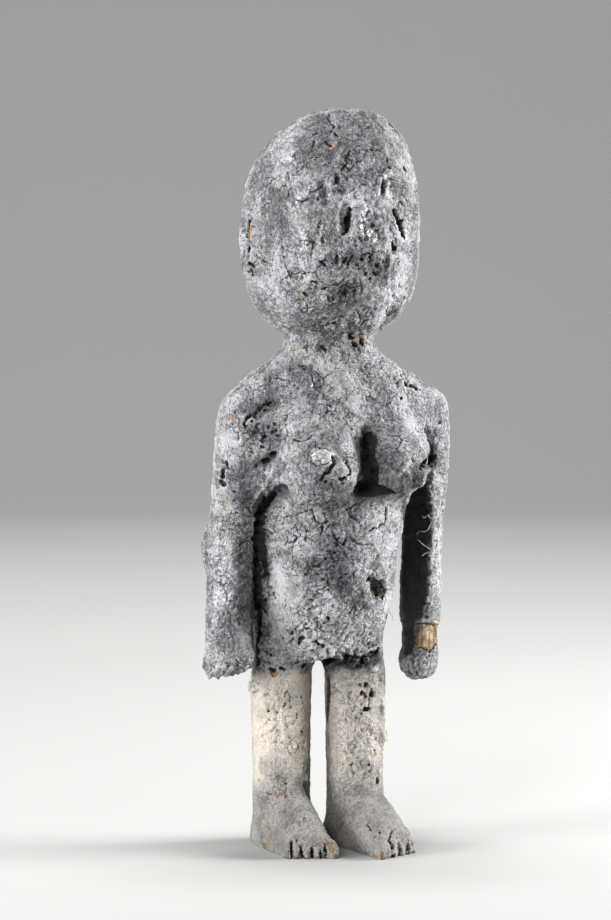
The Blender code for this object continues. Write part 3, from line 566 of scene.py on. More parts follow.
@dataclass
class Wiring:
    """Adds and joins nodes in one node tree.

    Attributes:
        tree: The tree that it works on.
    """

    tree: bpy.types.NodeTree

    def node(self, kind: str, **settings: object) -> bpy.types.Node:
        """Adds a node.

        Args:
            kind: The node's type.
            **settings: Its properties.

        Returns:
            The node.
        """
        node = self.tree.nodes.new(kind)
        for name, value in settings.items():
            setattr(node, name, value)
        return node

    def feed(self, socket: bpy.types.NodeSocket, value: object) -> None:
        """Links an output to a socket, or sets the socket's value.

        Args:
            socket: The socket.
            value: An output, a colour or a plain value.
        """
        if isinstance(value, bpy.types.NodeSocket):
            self.tree.links.new(value, socket)
        elif isinstance(value, tuple) and socket.type == "RGBA":
            socket.default_value = (*value[:3], 1.0)
        else:
            socket.default_value = value

    def math(self, operation: str, *values: Value) -> bpy.types.NodeSocket:
        """Adds a math node.

        Args:
            operation: What it does.
            *values: What it does it to.

        Returns:
            Its result.
        """
        node = self.node("ShaderNodeMath", operation=operation)
        for socket, value in zip(node.inputs, values):
            self.feed(socket, value)
        return node.outputs[0]

    def times(self, first: Value, second: Value) -> bpy.types.NodeSocket:
        """The first value times the second."""
        return self.math("MULTIPLY", first, second)

    def plus(self, first: Value, second: Value) -> bpy.types.NodeSocket:
        """The sum of two values."""
        return self.math("ADD", first, second)

    def minus(self, first: Value, second: Value) -> bpy.types.NodeSocket:
        """The first value less the second."""
        return self.math("SUBTRACT", first, second)

    def opposite(self, value: Value) -> bpy.types.NodeSocket:
        """One less the value."""
        return self.math("SUBTRACT", 1.0, value)

    def most(self, first: Value, second: Value) -> bpy.types.NodeSocket:
        """The larger of two values."""
        return self.math("MAXIMUM", first, second)

    def least(self, first: Value, second: Value) -> bpy.types.NodeSocket:
        """The smaller of two values."""
        return self.math("MINIMUM", first, second)

    def total(self, *parts: tuple[Value, float]) -> bpy.types.NodeSocket:
        """Sum of values, each times its weight.

        Args:
            *parts: Pairs of a value and its weight.

        Returns:
            The sum.
        """
        (value, weight), *others = parts
        result = self.times(value, weight)
        for value, weight in others:
            result = self.plus(result, self.times(value, weight))
        return result

    def vector(self, operation: str, *values: object) -> bpy.types.NodeSocket:
        """Adds a vector math node.

        Args:
            operation: What it does.
            *values: What it does it to.

        Returns:
            Its result.
        """
        node = self.node("ShaderNodeVectorMath", operation=operation)
        vectors = [socket for socket in node.inputs if socket.type == "VECTOR"]
        for socket, value in zip(vectors, values):
            self.feed(socket, value)
        return node.outputs["Vector"]

    def scaled(self, vector: bpy.types.NodeSocket, factor: Value) -> bpy.types.NodeSocket:
        """A vector times a number.

        Args:
            vector: The vector.
            factor: The number.

        Returns:
            The result.
        """
        node = self.node("ShaderNodeVectorMath", operation="SCALE")
        self.feed(node.inputs[0], vector)
        self.feed(node.inputs["Scale"], factor)
        return node.outputs["Vector"]

    def step(self, value: Value, low: Value, high: Value) -> bpy.types.NodeSocket:
        """Smooth step of a value.

        Args:
            value: The value.
            low: Where the step is 0.
            high: Where the step is 1.

        Returns:
            The step.
        """
        node = self.node("ShaderNodeMapRange", interpolation_type="SMOOTHSTEP")
        for name, given in (("Value", value), ("From Min", low), ("From Max", high)):
            self.feed(node.inputs[name], given)
        return node.outputs[0]

    def noise(
        self, vector: bpy.types.NodeSocket, size: Value, detail: float = 2.0, rough: float = 0.5
    ) -> bpy.types.NodeSocket:
        """Cloudy noise from 0 to 1.

        Args:
            vector: Where it is read.
            size: Size of its largest features, in metres.
            detail: How many finer layers it has.
            rough: How strong the finer layers are.

        Returns:
            The value.
        """
        return self._noise_node(vector, size, detail, rough).outputs[0]

    def noise_vector(
        self, vector: bpy.types.NodeSocket, size: Value, shift: float
    ) -> bpy.types.NodeSocket:
        """A place that is moved about by noise.

        Args:
            vector: The place.
            size: Size of the noise's features, in metres.
            shift: Twice how far it moves at most.

        Returns:
            The moved place.
        """
        colour = self._noise_node(vector, size, 1.0, 0.5).outputs[1]
        centred = self.vector("SUBTRACT", colour, (0.5, 0.5, 0.5))
        return self.vector("ADD", vector, self.scaled(centred, shift))

    def _noise_node(
        self, vector: bpy.types.NodeSocket, size: Value, detail: float, rough: float
    ) -> bpy.types.Node:
        """A noise node with its sockets fed.

        Args:
            vector: Where it is read.
            size: Size of its largest features, in metres.
            detail: How many finer layers it has.
            rough: How strong the finer layers are.

        Returns:
            The node.
        """
        node = self.node("ShaderNodeTexNoise")
        scale = self.math("DIVIDE", 1.0, size)
        for name, given in (("Vector", vector), ("Scale", scale), ("Detail", detail), ("Roughness", rough)):
            self.feed(node.inputs[name], given)
        return node

    def cells(
        self, vector: bpy.types.NodeSocket, size: Value, feature: str, output: str
    ) -> bpy.types.NodeSocket:
        """One output of a cell pattern.

        Args:
            vector: Where it is read.
            size: Size of a cell, in metres.
            feature: What is measured, such as F1 or DISTANCE_TO_EDGE.
            output: Name of the output.

        Returns:
            The output, where a distance is in cells.
        """
        node = self.node("ShaderNodeTexVoronoi", feature=feature)
        self.feed(node.inputs["Vector"], vector)
        self.feed(node.inputs["Scale"], self.math("DIVIDE", 1.0, size))
        return node.outputs[output]

    def shown(self, node: bpy.types.Node, *values: object) -> bpy.types.NodeSocket:
        """Feeds the inputs that a node shows with its present settings.

        Args:
            node: The node.
            *values: What its first inputs are fed.

        Returns:
            The first output that it shows.
        """
        for socket, value in zip((socket for socket in node.inputs if socket.enabled), values):
            self.feed(socket, value)
        return next(socket for socket in node.outputs if socket.enabled)

    def blend(self, factor: Value, first: object, second: object) -> bpy.types.NodeSocket:
        """A mix of two colours.

        Args:
            factor: Share of the second colour.
            first: The first colour.
            second: The second colour.

        Returns:
            The mixed colour.
        """
        return self.shown(self.node("ShaderNodeMix", data_type="RGBA"), factor, first, second)

    def random(self, kind: str, low: object, high: object) -> bpy.types.NodeSocket:
        """A random value for each point.

        Args:
            kind: Its type.
            low: The smallest.
            high: The largest.

        Returns:
            The value.
        """
        return self.shown(self.node("FunctionNodeRandomValue", data_type=kind), low, high)

    def attribute(self, name: str, output: str = "Fac") -> bpy.types.NodeSocket:
        """A mesh attribute read by a material."""
        return self.node("ShaderNodeAttribute", attribute_name=name).outputs[output]

    def field(self, name: str, kind: str = "FLOAT") -> bpy.types.NodeSocket:
        """A mesh attribute read by a geometry tree.

        Args:
            name: Its name.
            kind: Its type.

        Returns:
            Its value.
        """
        node = self.node("GeometryNodeInputNamedAttribute", data_type=kind)
        node.inputs["Name"].default_value = name
        return node.outputs["Attribute"]

    def store(
        self, mesh: bpy.types.NodeSocket, name: str, value: bpy.types.NodeSocket, kind: str = "FLOAT"
    ) -> bpy.types.NodeSocket:
        """Writes a value to a mesh attribute.

        Args:
            mesh: The mesh.
            name: The attribute's name.
            value: What is written.
            kind: Its type.

        Returns:
            The mesh with the attribute.
        """
        node = self.node("GeometryNodeStoreNamedAttribute", data_type=kind, domain="POINT")
        self.feed(node.inputs["Geometry"], mesh)
        node.inputs["Name"].default_value = name
        self.feed(node.inputs["Value"], value)
        return node.outputs[0]

    def realized(self, geometry: bpy.types.NodeSocket) -> bpy.types.NodeSocket:
        """A geometry with its instances made real.

        Args:
            geometry: The geometry.

        Returns:
            Its plain mesh.
        """
        node = self.node("GeometryNodeRealizeInstances")
        self.feed(node.inputs["Geometry"], geometry)
        return node.outputs["Geometry"]


GroupStart = tuple[Wiring, bpy.types.NodeOutputs, bpy.types.NodeInputs]


def new_group(
    name: str, kind: str, inputs: dict[str, float | str], outputs: dict[str, str]
) -> GroupStart:
    """An empty node group with its sockets.

    Args:
        name: The group's name.
        kind: The type of its tree.
        inputs: Its inputs by name, each with its number, or with its type if it has none.
        outputs: Its outputs by name, each with its type.

    Returns:
        The wiring, the input node's outputs and the output node's inputs.
    """
    tree = bpy.data.node_groups.new(name, kind)
    for title, form in outputs.items():
        tree.interface.new_socket(name=title, in_out="OUTPUT", socket_type=f"NodeSocket{form}")
    for title, value in inputs.items():
        form = {float: "Float", int: "Int"}.get(type(value), value)
        socket = tree.interface.new_socket(name=title, in_out="INPUT", socket_type=f"NodeSocket{form}")
        if form is not value:
            socket.default_value = value
    w = Wiring(tree)
    return w, w.node("NodeGroupInput").outputs, w.node("NodeGroupOutput").inputs


def crack_mask(
    w: Wiring, place: bpy.types.NodeSocket, spacing: Value, width: Value
) -> bpy.types.NodeSocket:
    """Thin wandering lines between plates of crust.

    Args:
        w: The tree to add it to.
        place: Where it is read.
        spacing: How far apart the cracks are, in metres.
        width: Half the width of a crack, in metres.

    Returns:
        A value of 1 in the cracks and 0 elsewhere.
    """
    bent = place
    for size, shift in CRACK_BENDS:
        bent = w.noise_vector(bent, size, shift)
    edge = w.cells(bent, spacing, "DISTANCE_TO_EDGE", "Distance")
    line = w.opposite(w.step(w.times(edge, spacing), 0.0, width))
    broken = w.noise(place, CRACK_PATCH, 3.0)
    return w.times(line, w.step(broken, 0.52, 0.60))


class ShaderGroups:
    """The patterns that the materials are made from."""

    def __init__(self) -> None:
        """Builds each group once."""
        self.grit = self._grit()
        self.clouds = self._clouds()
        self.cracks = self._cracks()
        self.grain = self._grain()

    @staticmethod
    def _start(name: str, sizes: dict[str, float], *outputs: str) -> GroupStart:
        """An empty group that is read at a place, with number outputs."""
        made = {output: "Float" for output in outputs}
        return new_group(name, "ShaderNodeTree", {"Place": "Vector", **sizes}, made)

    def _grit(self) -> bpy.types.NodeTree:
        """Fine granules, as a height, specks, granules and pores.

        Returns:
            The group.
        """
        w, given, made = self._start("grit", {"Size": 0.0006}, "Height", "Specks", "Pores", "Granules")
        place, size = given["Place"], given["Size"]
        bent = w.noise_vector(place, w.times(size, 2.0), GRIT_SHIFT)
        grains = w.cells(bent, size, "F1", "Distance")
        fine = w.noise(place, w.times(size, 0.7), 4.0, 0.7)
        w.feed(made["Height"], w.minus(fine, w.times(grains, 0.7)))
        wide = w.noise(place, w.times(size, 1.6), 5.0, 0.75)
        w.feed(made["Specks"], w.step(wide, 0.33, 0.67))
        tone = w.node("ShaderNodeSeparateColor")
        w.feed(tone.inputs[0], w.cells(bent, w.times(size, 0.75), "F1", "Color"))
        w.feed(made["Granules"], tone.outputs[0])
        holes = w.cells(bent, w.times(size, 2.2), "F1", "Distance")
        clumps = w.step(w.noise(place, PORE_PATCH, 3.0), 0.42, 0.60)
        reach = w.plus(0.11, w.times(clumps, 0.20))
        w.feed(made["Pores"], w.opposite(w.step(holes, w.times(reach, 0.5), reach)))
        return w.tree

    def _clouds(self) -> bpy.types.NodeTree:
        """Soft uneven patches from 0 to 1.

        Returns:
            The group.
        """
        w, given, made = self._start("clouds", {"Size": 0.01, "Low": 0.4, "High": 0.6}, "Patches")
        value = w.noise(given["Place"], given["Size"], 6.0, 0.62)
        w.feed(made["Patches"], w.step(value, given["Low"], given["High"]))
        return w.tree

    def _cracks(self) -> bpy.types.NodeTree:
        """Hairline cracks between plates of crust.

        Returns:
            The group.
        """
        w, given, made = self._start("crack_net", {"Spacing": 0.007, "Width": 0.0002}, "Cracks")
        w.feed(made["Cracks"], crack_mask(w, given["Place"], given["Spacing"], given["Width"]))
        return w.tree

    def _grain(self) -> bpy.types.NodeTree:
        """Upright wood grain, as light and dark streaks.

        Returns:
            The group.
        """
        w, given, made = self._start("wood_grain", {"Size": 0.0008}, "Streaks")
        drawn = w.vector("MULTIPLY", given["Place"], (1.0, 1.0, 0.12))
        streaks = w.noise(drawn, given["Size"], 4.0, 0.65)
        w.feed(made["Streaks"], w.step(streaks, 0.35, 0.65))
        return w.tree

    @staticmethod
    def use(
        w: Wiring, group: bpy.types.NodeTree, place: bpy.types.NodeSocket, **values: float
    ) -> bpy.types.NodeOutputs:
        """Places a group in a material.

        Args:
            w: The material's wiring.
            group: The group.
            place: Where the pattern is read.
            **values: The group's number inputs.

        Returns:
            The group node's outputs.
        """
        node = w.node("ShaderNodeGroup", node_tree=group)
        w.feed(node.inputs["Place"], place)
        for name, value in values.items():
            node.inputs[name].default_value = value
        return node.outputs


def new_material(name: str) -> tuple[bpy.types.Material, Wiring, bpy.types.NodeInputs]:
    """A material with a Principled shader.

    Args:
        name: The material's name.

    Returns:
        The material, its wiring and the shader's inputs.
    """
    material = bpy.data.materials.new(name)
    material.use_nodes = True
    return material, Wiring(material.node_tree), material.node_tree.nodes["Principled BSDF"].inputs


def crust_material(finish: CrustFinish, groups: ShaderGroups) -> bpy.types.Material:
    """Dried crust over wood: ash, slate patches, dust, cracks, glossy spots, bare wood and painted shade.

    Args:
        finish: Its colours, its gloss and the sizes of its patterns.
        groups: The patterns.

    Returns:
        The material.
    """
    material, w, shader = new_material(finish.name)
    place = w.attribute("rest", "Vector")
    legs, dark, pale = w.attribute("legs"), w.attribute("dark"), w.attribute("pale")
    shine, height, hollow = w.attribute("shine"), w.attribute("height"), w.attribute("hollow")

    def patches(size: float, low: float, high: float, shift: Shift | None = None) -> bpy.types.NodeSocket:
        """Soft patches of a size, between two levels of noise."""
        spot = place if shift is None else w.vector("ADD", place, shift)
        return groups.use(w, groups.clouds, spot, Size=size, Low=low, High=high)["Patches"]

    ragged = w.times(w.minus(w.noise(place, finish.rag_size, 3.0, 0.65), 0.5), 1.2)
    # The groove layer marks cuts, which are painted near-black inside further down, as painted shade.
    grooves = w.step(w.plus(w.attribute("groove"), ragged), 0.44, 0.60)
    torn = w.times(w.minus(w.noise(place, finish.tear_size, 4.0, 0.65), 0.5), 1.6)
    wood = w.step(w.plus(w.attribute("wood"), torn), 0.46, 0.58)
    broad = patches(finish.broad_size, 0.36, 0.64)
    middle = patches(finish.middle_size, 0.34, 0.66)
    dusty = patches(finish.dust_size, 0.52, 0.70)
    slaty = patches(finish.slate_size, 0.53, 0.68, SLATE_SHIFT)
    grit = groups.use(w, groups.grit, place, Size=finish.grit_size)
    specks, granules = grit["Specks"], grit["Granules"]

    ash = w.blend(legs, finish.ash, finish.warm_ash)
    grey = w.blend(legs, finish.grey, finish.warm_grey)
    # Painted light and shade: the crust is paler where it stands high and darker in its hollows.
    mixed = w.total(
        (broad, 0.42),
        (middle, 0.30),
        (specks, 0.28),
        (granules, 0.30),
        (height, 0.15),
        (hollow, -0.25),
        (pale, 0.40),
        (legs, 0.14),
    )
    colour = w.blend(w.step(mixed, 0.35, 1.25), grey, ash)
    grains = w.total((specks, 0.55), (granules, 0.45))
    chalky = w.times(w.times(legs, pale), w.plus(0.25, w.times(grains, 0.75)))
    # No chalk where the dark layer is, so stains, painted shade and the darker feet stay dark.
    chalky = w.times(chalky, w.opposite(dark))
    colour = w.blend(chalky, colour, finish.chalk)
    # Slate goes on the slate patches and on the dark layer, which holds dark stains, painted shade and the
    # darker feet.
    bluish = w.most(w.times(slaty, 0.55), dark)
    bluish = w.times(bluish, w.minus(1.15, w.times(specks, 0.6)))
    bluish = w.times(bluish, w.opposite(w.times(legs, 0.35)))
    colour = w.blend(w.least(bluish, 1.0), colour, finish.slate)
    powder = w.plus(0.20, w.times(w.most(w.times(legs, 0.6), w.attribute("dust")), 0.40))
    powder = w.times(powder, w.most(dusty, w.step(granules, 0.55, 0.85)))
    # No dust where the dark layer holds stains and painted shade.
    powder = w.times(powder, w.opposite(dark))
    colour = w.blend(powder, colour, finish.dust)
    streaks = groups.use(w, groups.grain, place, Size=finish.streak_size)["Streaks"]
    worn = w.times(streaks, w.plus(0.15, w.times(middle, 1.2)))
    # The bare wood turns to its dark grain colour under the dark layer, which is painted shade on its left
    # side at the wrist.
    worn = w.times(worn, w.opposite(dark))
    timber = w.blend(w.least(worn, 1.0), finish.old_wood, finish.wood)
    colour = w.blend(wood, colour, timber)

    spacing, width = finish.cracks
    hairs = groups.use(w, groups.cracks, place, Spacing=spacing, Width=width)["Cracks"]
    spacing, width = finish.fine_cracks
    spot = w.vector("ADD", place, FINE_CRACK_SHIFT)
    small = groups.use(w, groups.cracks, spot, Spacing=spacing, Width=width)["Cracks"]
    lines = w.most(hairs, w.times(small, 0.75))
    lines = w.times(lines, w.opposite(w.times(legs, 0.8)))
    lines = w.times(lines, w.opposite(wood))
    pores = w.times(grit["Pores"], w.opposite(w.times(legs, 0.3)))
    # Painted shade: cracks, pores, cut pits and grooves, deep hollows and the strongest dark marks go
    # near-black.
    deep = w.most(w.most(lines, grooves), w.times(pores, 0.85))
    deep = w.most(deep, w.times(w.step(hollow, 0.45, 1.0), 0.8))
    deep = w.most(deep, w.step(dark, 0.86, 1.0))
    colour = w.blend(w.times(deep, 0.94), colour, finish.crack)
    w.feed(shader["Base Color"], colour)

    glints = w.step(w.noise(place, finish.glint_size, 2.0), 0.60, 0.68)
    gloss = w.most(w.times(shine, 0.85), w.times(glints, 0.7))
    gloss = w.most(gloss, w.times(dark, 0.35))
    gloss = w.times(gloss, w.opposite(w.times(legs, 0.8)))
    spread = w.times(w.minus(finish.roughness, finish.gloss), gloss)
    w.feed(shader["Roughness"], w.minus(finish.roughness, spread))
    w.feed(shader["Coat Weight"], w.times(shine, finish.coat))
    shader["Coat Roughness"].default_value = finish.coat_roughness

    relief = w.times(grit["Height"], w.opposite(w.times(shine, 0.6)))
    relief = w.minus(relief, w.times(w.plus(lines, pores), 0.8))
    bump = w.node("ShaderNodeBump")
    bump.inputs["Distance"].default_value = finish.grit_height
    bump.inputs["Strength"].default_value = 1.0
    w.feed(bump.inputs["Height"], relief)
    w.feed(shader["Normal"], bump.outputs["Normal"])
    return material


def fibre_material(finish: FibreFinish, groups: ShaderGroups) -> bpy.types.Material:
    """Dry plant fibre, streaked and dull.

    Args:
        finish: Its colours.
        groups: The patterns.

    Returns:
        The material.
    """
    material, w, shader = new_material(finish.name)
    place = w.node("ShaderNodeTexCoord").outputs["Object"]
    grit = groups.use(w, groups.grit, place, Size=finish.grit_size)
    w.feed(shader["Base Color"], w.blend(grit["Specks"], finish.dark, finish.pale))
    shader["Roughness"].default_value = finish.roughness
    return material


def floor_material(finish: FloorFinish) -> bpy.types.Material:
    """The plain pale floor.

    Args:
        finish: Its colour.

    Returns:
        The material.
    """
    material, _, shader = new_material(finish.name)
    shader["Base Color"].default_value = (*finish.colour, 1.0)
    shader["Roughness"].default_value = finish.roughness
    return material


def plain_mesh(piece: bpy.types.Object) -> None:
    """Replaces a piece's mesh with the one that its modifiers give, and removes them.

    Args:
        piece: The piece.
    """
    graph = bpy.context.evaluated_depsgraph_get()
    graph.update()
    mesh = bpy.data.meshes.new_from_object(piece.evaluated_get(graph))
    piece.modifiers.clear()
    piece.data = mesh


def new_piece(name: str, mesh: bpy.types.Mesh) -> bpy.types.Object:
    """An object at the origin with the given mesh.

    Args:
        name: Its name.
        mesh: Its mesh.

    Returns:
        The object.
    """
    piece = bpy.data.objects.new(name, mesh)
    bpy.context.scene.collection.objects.link(piece)
    return piece


def add_tree(piece: bpy.types.Object, tree: bpy.types.NodeTree, values: dict[str, object]) -> None:
    """Puts a geometry tree on a piece, with its inputs set, and turns the result into its mesh.

    Args:
        piece: The piece.
        tree: The tree.
        values: The inputs by name.
    """
    modifier = piece.modifiers.new(tree.name, "NODES")
    modifier.node_group = tree
    for item in tree.interface.items_tree:
        if item.in_out == "INPUT" and item.name in values:
            modifier[item.identifier] = values[item.name]
    plain_mesh(piece)


def report(piece: bpy.types.Object) -> None:
    """Logs a piece and how many triangles it has."""
    log.info("%s: %d triangles", piece.name, len(piece.data.loops) - 2 * len(piece.data.polygons))


def read(
    items: bpy.types.bpy_prop_collection, key: str, wide: int = 1, kind: type = np.float32
) -> np.ndarray:
    """One property of each item of a mesh.

    Args:
        items: The items, such as the mesh's points.
        key: The property.
        wide: How many numbers it has.
        kind: The numbers' type.

    Returns:
        The numbers, in a row for each item if there are several.
    """
    values = np.empty(len(items) * wide, kind)
    items.foreach_get(key, values)
    return values.reshape(-1, wide) if wide > 1 else values


def read_points(mesh: bpy.types.Mesh) -> np.ndarray:
    """The places of a mesh's points, one row each."""
    return read(mesh.vertices, "co", 3).astype(np.float64)


def read_normals(mesh: bpy.types.Mesh) -> np.ndarray:
    """The smooth normals of a mesh's points, one row each."""
    return read(mesh.vertex_normals, "vector", 3).astype(np.float64)


def write_points(mesh: bpy.types.Mesh, points: np.ndarray) -> None:
    """Moves a mesh's points."""
    mesh.vertices.foreach_set("co", points.astype(np.float32).ravel())
    mesh.update()


def write_layer(mesh: bpy.types.Mesh, name: str, values: np.ndarray) -> None:
    """Stores a number or a vector for each point of a mesh.

    Args:
        mesh: The mesh.
        name: The layer's name.
        values: A number or a row for each point.
    """
    if name in mesh.attributes:
        mesh.attributes.remove(mesh.attributes[name])
    kind, key = ("FLOAT_VECTOR", "vector") if values.ndim == 2 else ("FLOAT", "value")
    mesh.attributes.new(name, kind, "POINT").data.foreach_set(key, values.astype(np.float32).ravel())


def smooth_step(value: np.ndarray, low: float, high: float) -> np.ndarray:
    """Smooth step from 0 at low to 1 at high."""
    share = np.clip((value - low) / (high - low), 0, 1)
    return share * share * (3 - 2 * share)


def ripple(points: np.ndarray, size: float, seed: int, count: int = 7, spread: float = 3.2) -> np.ndarray:
    """A smooth uneven value from about -1 to 1.

    Args:
        points: Where it is read, one row each.
        size: Length of its waves, in metres.
        seed: Which pattern.
        count: How many waves are added up.
        spread: What their sum is divided by.

    Returns:
        One value for each point.
    """
    rng = np.random.default_rng(seed)
    waves = rng.normal(size=(count, 3))
    speeds = (math.tau / size) * rng.uniform(0.7, 1.5, (count, 1))
    waves *= speeds / np.linalg.norm(waves, axis=1, keepdims=True)
    return np.sin(points @ waves.T + rng.uniform(0, math.tau, count)).sum(axis=1) / spread


def hollowness(mesh: bpy.types.Mesh, rounds: int = 5, depth: float = 0.30 * MM) -> np.ndarray:
    """How far each point lies below the ones around it.

    Args:
        mesh: The mesh.
        rounds: How wide an area is looked at, in steps from point to point.
        depth: Depth that counts as 1.

    Returns:
        A value for each point from -1 on a ridge to 1 in a hollow.
    """
    points = read_points(mesh)
    ends = read(mesh.edges, "vertices", 2, np.int32)
    first, second = ends[:, 0], ends[:, 1]
    count = np.bincount(ends.ravel(), minlength=len(points))[:, None]
    around = points
    for _ in range(rounds):
        sums = [
            np.bincount(first, around[second, axis], len(points))
            + np.bincount(second, around[first, axis], len(points))
            for axis in range(3)
        ]
        around = np.stack(sums, axis=1) / count
    rise = ((around - points) * read_normals(mesh)).sum(axis=1)
    return np.clip(rise / depth, -1, 1)


@dataclass
class Marker:
    """Finds where marks lie on the figure, and makes them.

    Attributes:
        camera: The camera whose picture plane names the places.
        skin: The surface that they lie on.
        step: How far apart the places along a mark are, in pixels.
        wander: How far a crack strays from its course, in pixels.
        reach: How far above or below its course a mark still works.
        extra_reach: How much further a wide mark works, as a share of its width.
        least_facing: Below which a point faces away from a mark, as a cosine.
        edge: How far outside its outline a groove's value still falls off.
        cut_waves: How high and long the waves in the outline of a cut are, as shares of its width.
        soft_waves: The same for other marks.
        crack_inset: How much narrower a crack's dark value is than the crack.
        wall: Where the wall of a cut starts, as a share of its width.
        fade: Where a stain starts to fade, as a share of its width.
        lumpiness: The smallest and largest share of its radius that a crumb has in a direction.
    """

    camera: PhotoCamera
    skin: BVHTree
    step: float = 1.2
    wander: float = 0.5
    reach: float = 3.5 * MM
    extra_reach: float = 0.4
    least_facing: float = -0.1
    edge: float = 0.5 * MM
    cut_waves: tuple[float, float] = (0.3, 1.6)
    soft_waves: tuple[float, float] = (0.22, 2.2)
    crack_inset: float = 0.15
    wall: float = 0.35
    fade: float = 0.45
    lumpiness: tuple[float, float] = (0.65, 1.15)

    def hit(self, pixel: Pixel) -> tuple[Vector, Vector] | None:
        """Where the line of sight through a pixel meets the figure.

        Args:
            pixel: Place on the picture plane.

        Returns:
            The place and the surface normal, or None where it misses.
        """
        place, normal, _, _ = self.skin.ray_cast(self.camera.place, self.camera.ray(pixel))
        return None if place is None else (place, normal)

    def trace(self, mark: Mark, seed: int) -> tuple[np.ndarray, np.ndarray]:
        """Closely spaced places along a mark.

        Args:
            mark: The mark.
            seed: Which wander a crack has.

        Returns:
            The places and the normals, one row each.
        """
        rng = np.random.default_rng(seed)
        wander = self.wander if mark.kind is Kind.CRACK else 0.0
        found = []
        ends = list(zip(mark.path, mark.path[1:])) or [(mark.path[0], mark.path[0])]
        for start, end in ends:
            count = max(1, round(math.dist(start, end) / self.step))
            for index in range(count + 1):
                share = index / count
                shift = rng.uniform(-wander, wander, 2) if 0 < index < count else (0.0, 0.0)
                spot = tuple(a + (b - a) * share + s for a, b, s in zip(start, end, shift))
                found.append(self.hit(spot))
        found = [place for place in found if place]
        return tuple(np.array([tuple(pair[side]) for pair in found]).reshape(-1, 3) for side in (0, 1))

    def nearness(
        self, mark: Mark, seed: int, points: np.ndarray, normals: np.ndarray
    ) -> tuple[np.ndarray, np.ndarray]:
        """Which points a mark covers, and how far each is from its middle.

        Args:
            mark: The mark.
            seed: Which ragged outline it has.
            points: The surface's points.
            normals: Their normals.

        Returns:
            The indices of the points, and their distance as a share of the mark's width.
        """
        places, facing = self.trace(mark, seed)
        if not len(places):
            log.warning("a %s mark at %s misses the figure", mark.kind.value, mark.path[0])
            return np.zeros(0, int), np.zeros(0)
        width = mark.width * MM
        cut = mark.kind in (Kind.PIT, Kind.CRACK, Kind.WOOD)
        wide = width + self.edge if cut else width
        low, high = places.min(axis=0) - 2 * wide, places.max(axis=0) + 2 * wide
        inside = np.flatnonzero(((points > low) & (points < high)).all(axis=1))
        if not len(inside):
            return inside, np.zeros(0)
        away = points[inside, None, :] - places[None, :, :]
        along = np.einsum("ijk,jk->ij", away, facing)
        flat = np.maximum((away**2).sum(axis=2) - along**2, 0)
        flat[np.abs(along) > self.reach + self.extra_reach * width] = np.inf
        nearest = flat.argmin(axis=1)
        distance = np.sqrt(flat[np.arange(len(inside)), nearest]) / width
        tall, long = self.cut_waves if cut else self.soft_waves
        distance *= 1 + tall * ripple(points[inside], long * wide, seed)
        same_side = (normals[inside] * facing[nearest]).sum(axis=1) > self.least_facing
        kept = (distance < wide / width) & same_side
        return inside[kept], distance[kept]

    def add_crumbs(self, mesh: bpy.types.Mesh, crumbs: tuple[Mark, ...]) -> None:
        """Adds the crumbs that stand out, each a lumpy ball, to a mesh.

        Args:
            mesh: The mesh.
            crumbs: Where they are. Their width is their radius and their depth how far they stand out.
        """
        shape = bmesh.new()
        shape.from_mesh(mesh)
        rng = np.random.default_rng(SEED)
        for number, crumb in enumerate(crumbs):
            places, facing = self.trace(crumb, number)
            for place, normal in zip(places, facing):
                centre = Vector(place + normal * crumb.depth * MM)
                sizes = rng.uniform(*self.lumpiness, 3) * crumb.width * MM
                turn = Matrix.Rotation(rng.uniform(0, math.tau), 4, Vector(rng.normal(size=3)))
                form = Matrix.Translation(centre) @ turn @ Matrix.Diagonal((*sizes, 1))
                bmesh.ops.create_icosphere(shape, subdivisions=2, radius=1, matrix=form)
        shape.to_mesh(mesh)
        shape.free()

    def make(self, mesh: bpy.types.Mesh, marks: tuple[Mark, ...], layers: dict[str, np.ndarray]) -> None:
        """Makes marks on a mesh.

        Args:
            mesh: The mesh.
            marks: The marks.
            layers: Number layers by name, which stains and painted shade are painted on.
        """
        points, normals = read_points(mesh), read_normals(mesh)
        for number, mark in enumerate(marks):
            chosen, distance = self.nearness(mark, SEED + number, points, normals)
            soft = (1 - np.minimum(distance, 1) ** 2) ** 2
            steep = 1 - smooth_step(distance, self.wall, 1.0)
            depth = mark.depth * MM
            inset = self.crack_inset if mark.kind is Kind.CRACK else 0.0
            inward = np.clip(0.5 - inset + (1 - distance) * mark.width * MM / (2 * self.edge), 0, 1)
            if mark.kind is Kind.WOOD:
                layers["wood"][chosen] = np.maximum(layers["wood"][chosen], mark.depth * inward)
            elif mark.kind in PAINT_LAYERS:
                layer = layers[PAINT_LAYERS[mark.kind]]
                stain = mark.depth * (1 - smooth_step(distance, self.fade, 1.0))
                layer[chosen] = np.maximum(layer[chosen], stain)
            elif mark.kind in (Kind.SWELL, Kind.LIP):
                points[chosen] += normals[chosen] * (soft * depth)[:, None]
            elif mark.kind is Kind.DENT:
                points[chosen] -= normals[chosen] * (soft * depth)[:, None]
            else:
                points[chosen] -= normals[chosen] * (steep * depth)[:, None]
                # A cut is painted near-black inside as well, which stands for the shade in it.
                layers["groove"][chosen] = np.maximum(layers["groove"][chosen], inward)
        write_points(mesh, points)


def start_tree(name: str, sizes: dict[str, float]) -> GroupStart:
    """An empty geometry tree for a modifier.

    Args:
        name: Its name.
        sizes: Its number inputs and their values.

    Returns:
        The wiring, the input node's outputs and the output node's inputs.
    """
    inputs = {"Geometry": "Geometry", **sizes, "Material": "Material"}
    w, given, made = new_group(name, "GeometryNodeTree", inputs, {"Geometry": "Geometry"})
    w.tree.is_modifier = True
    return w, given, made


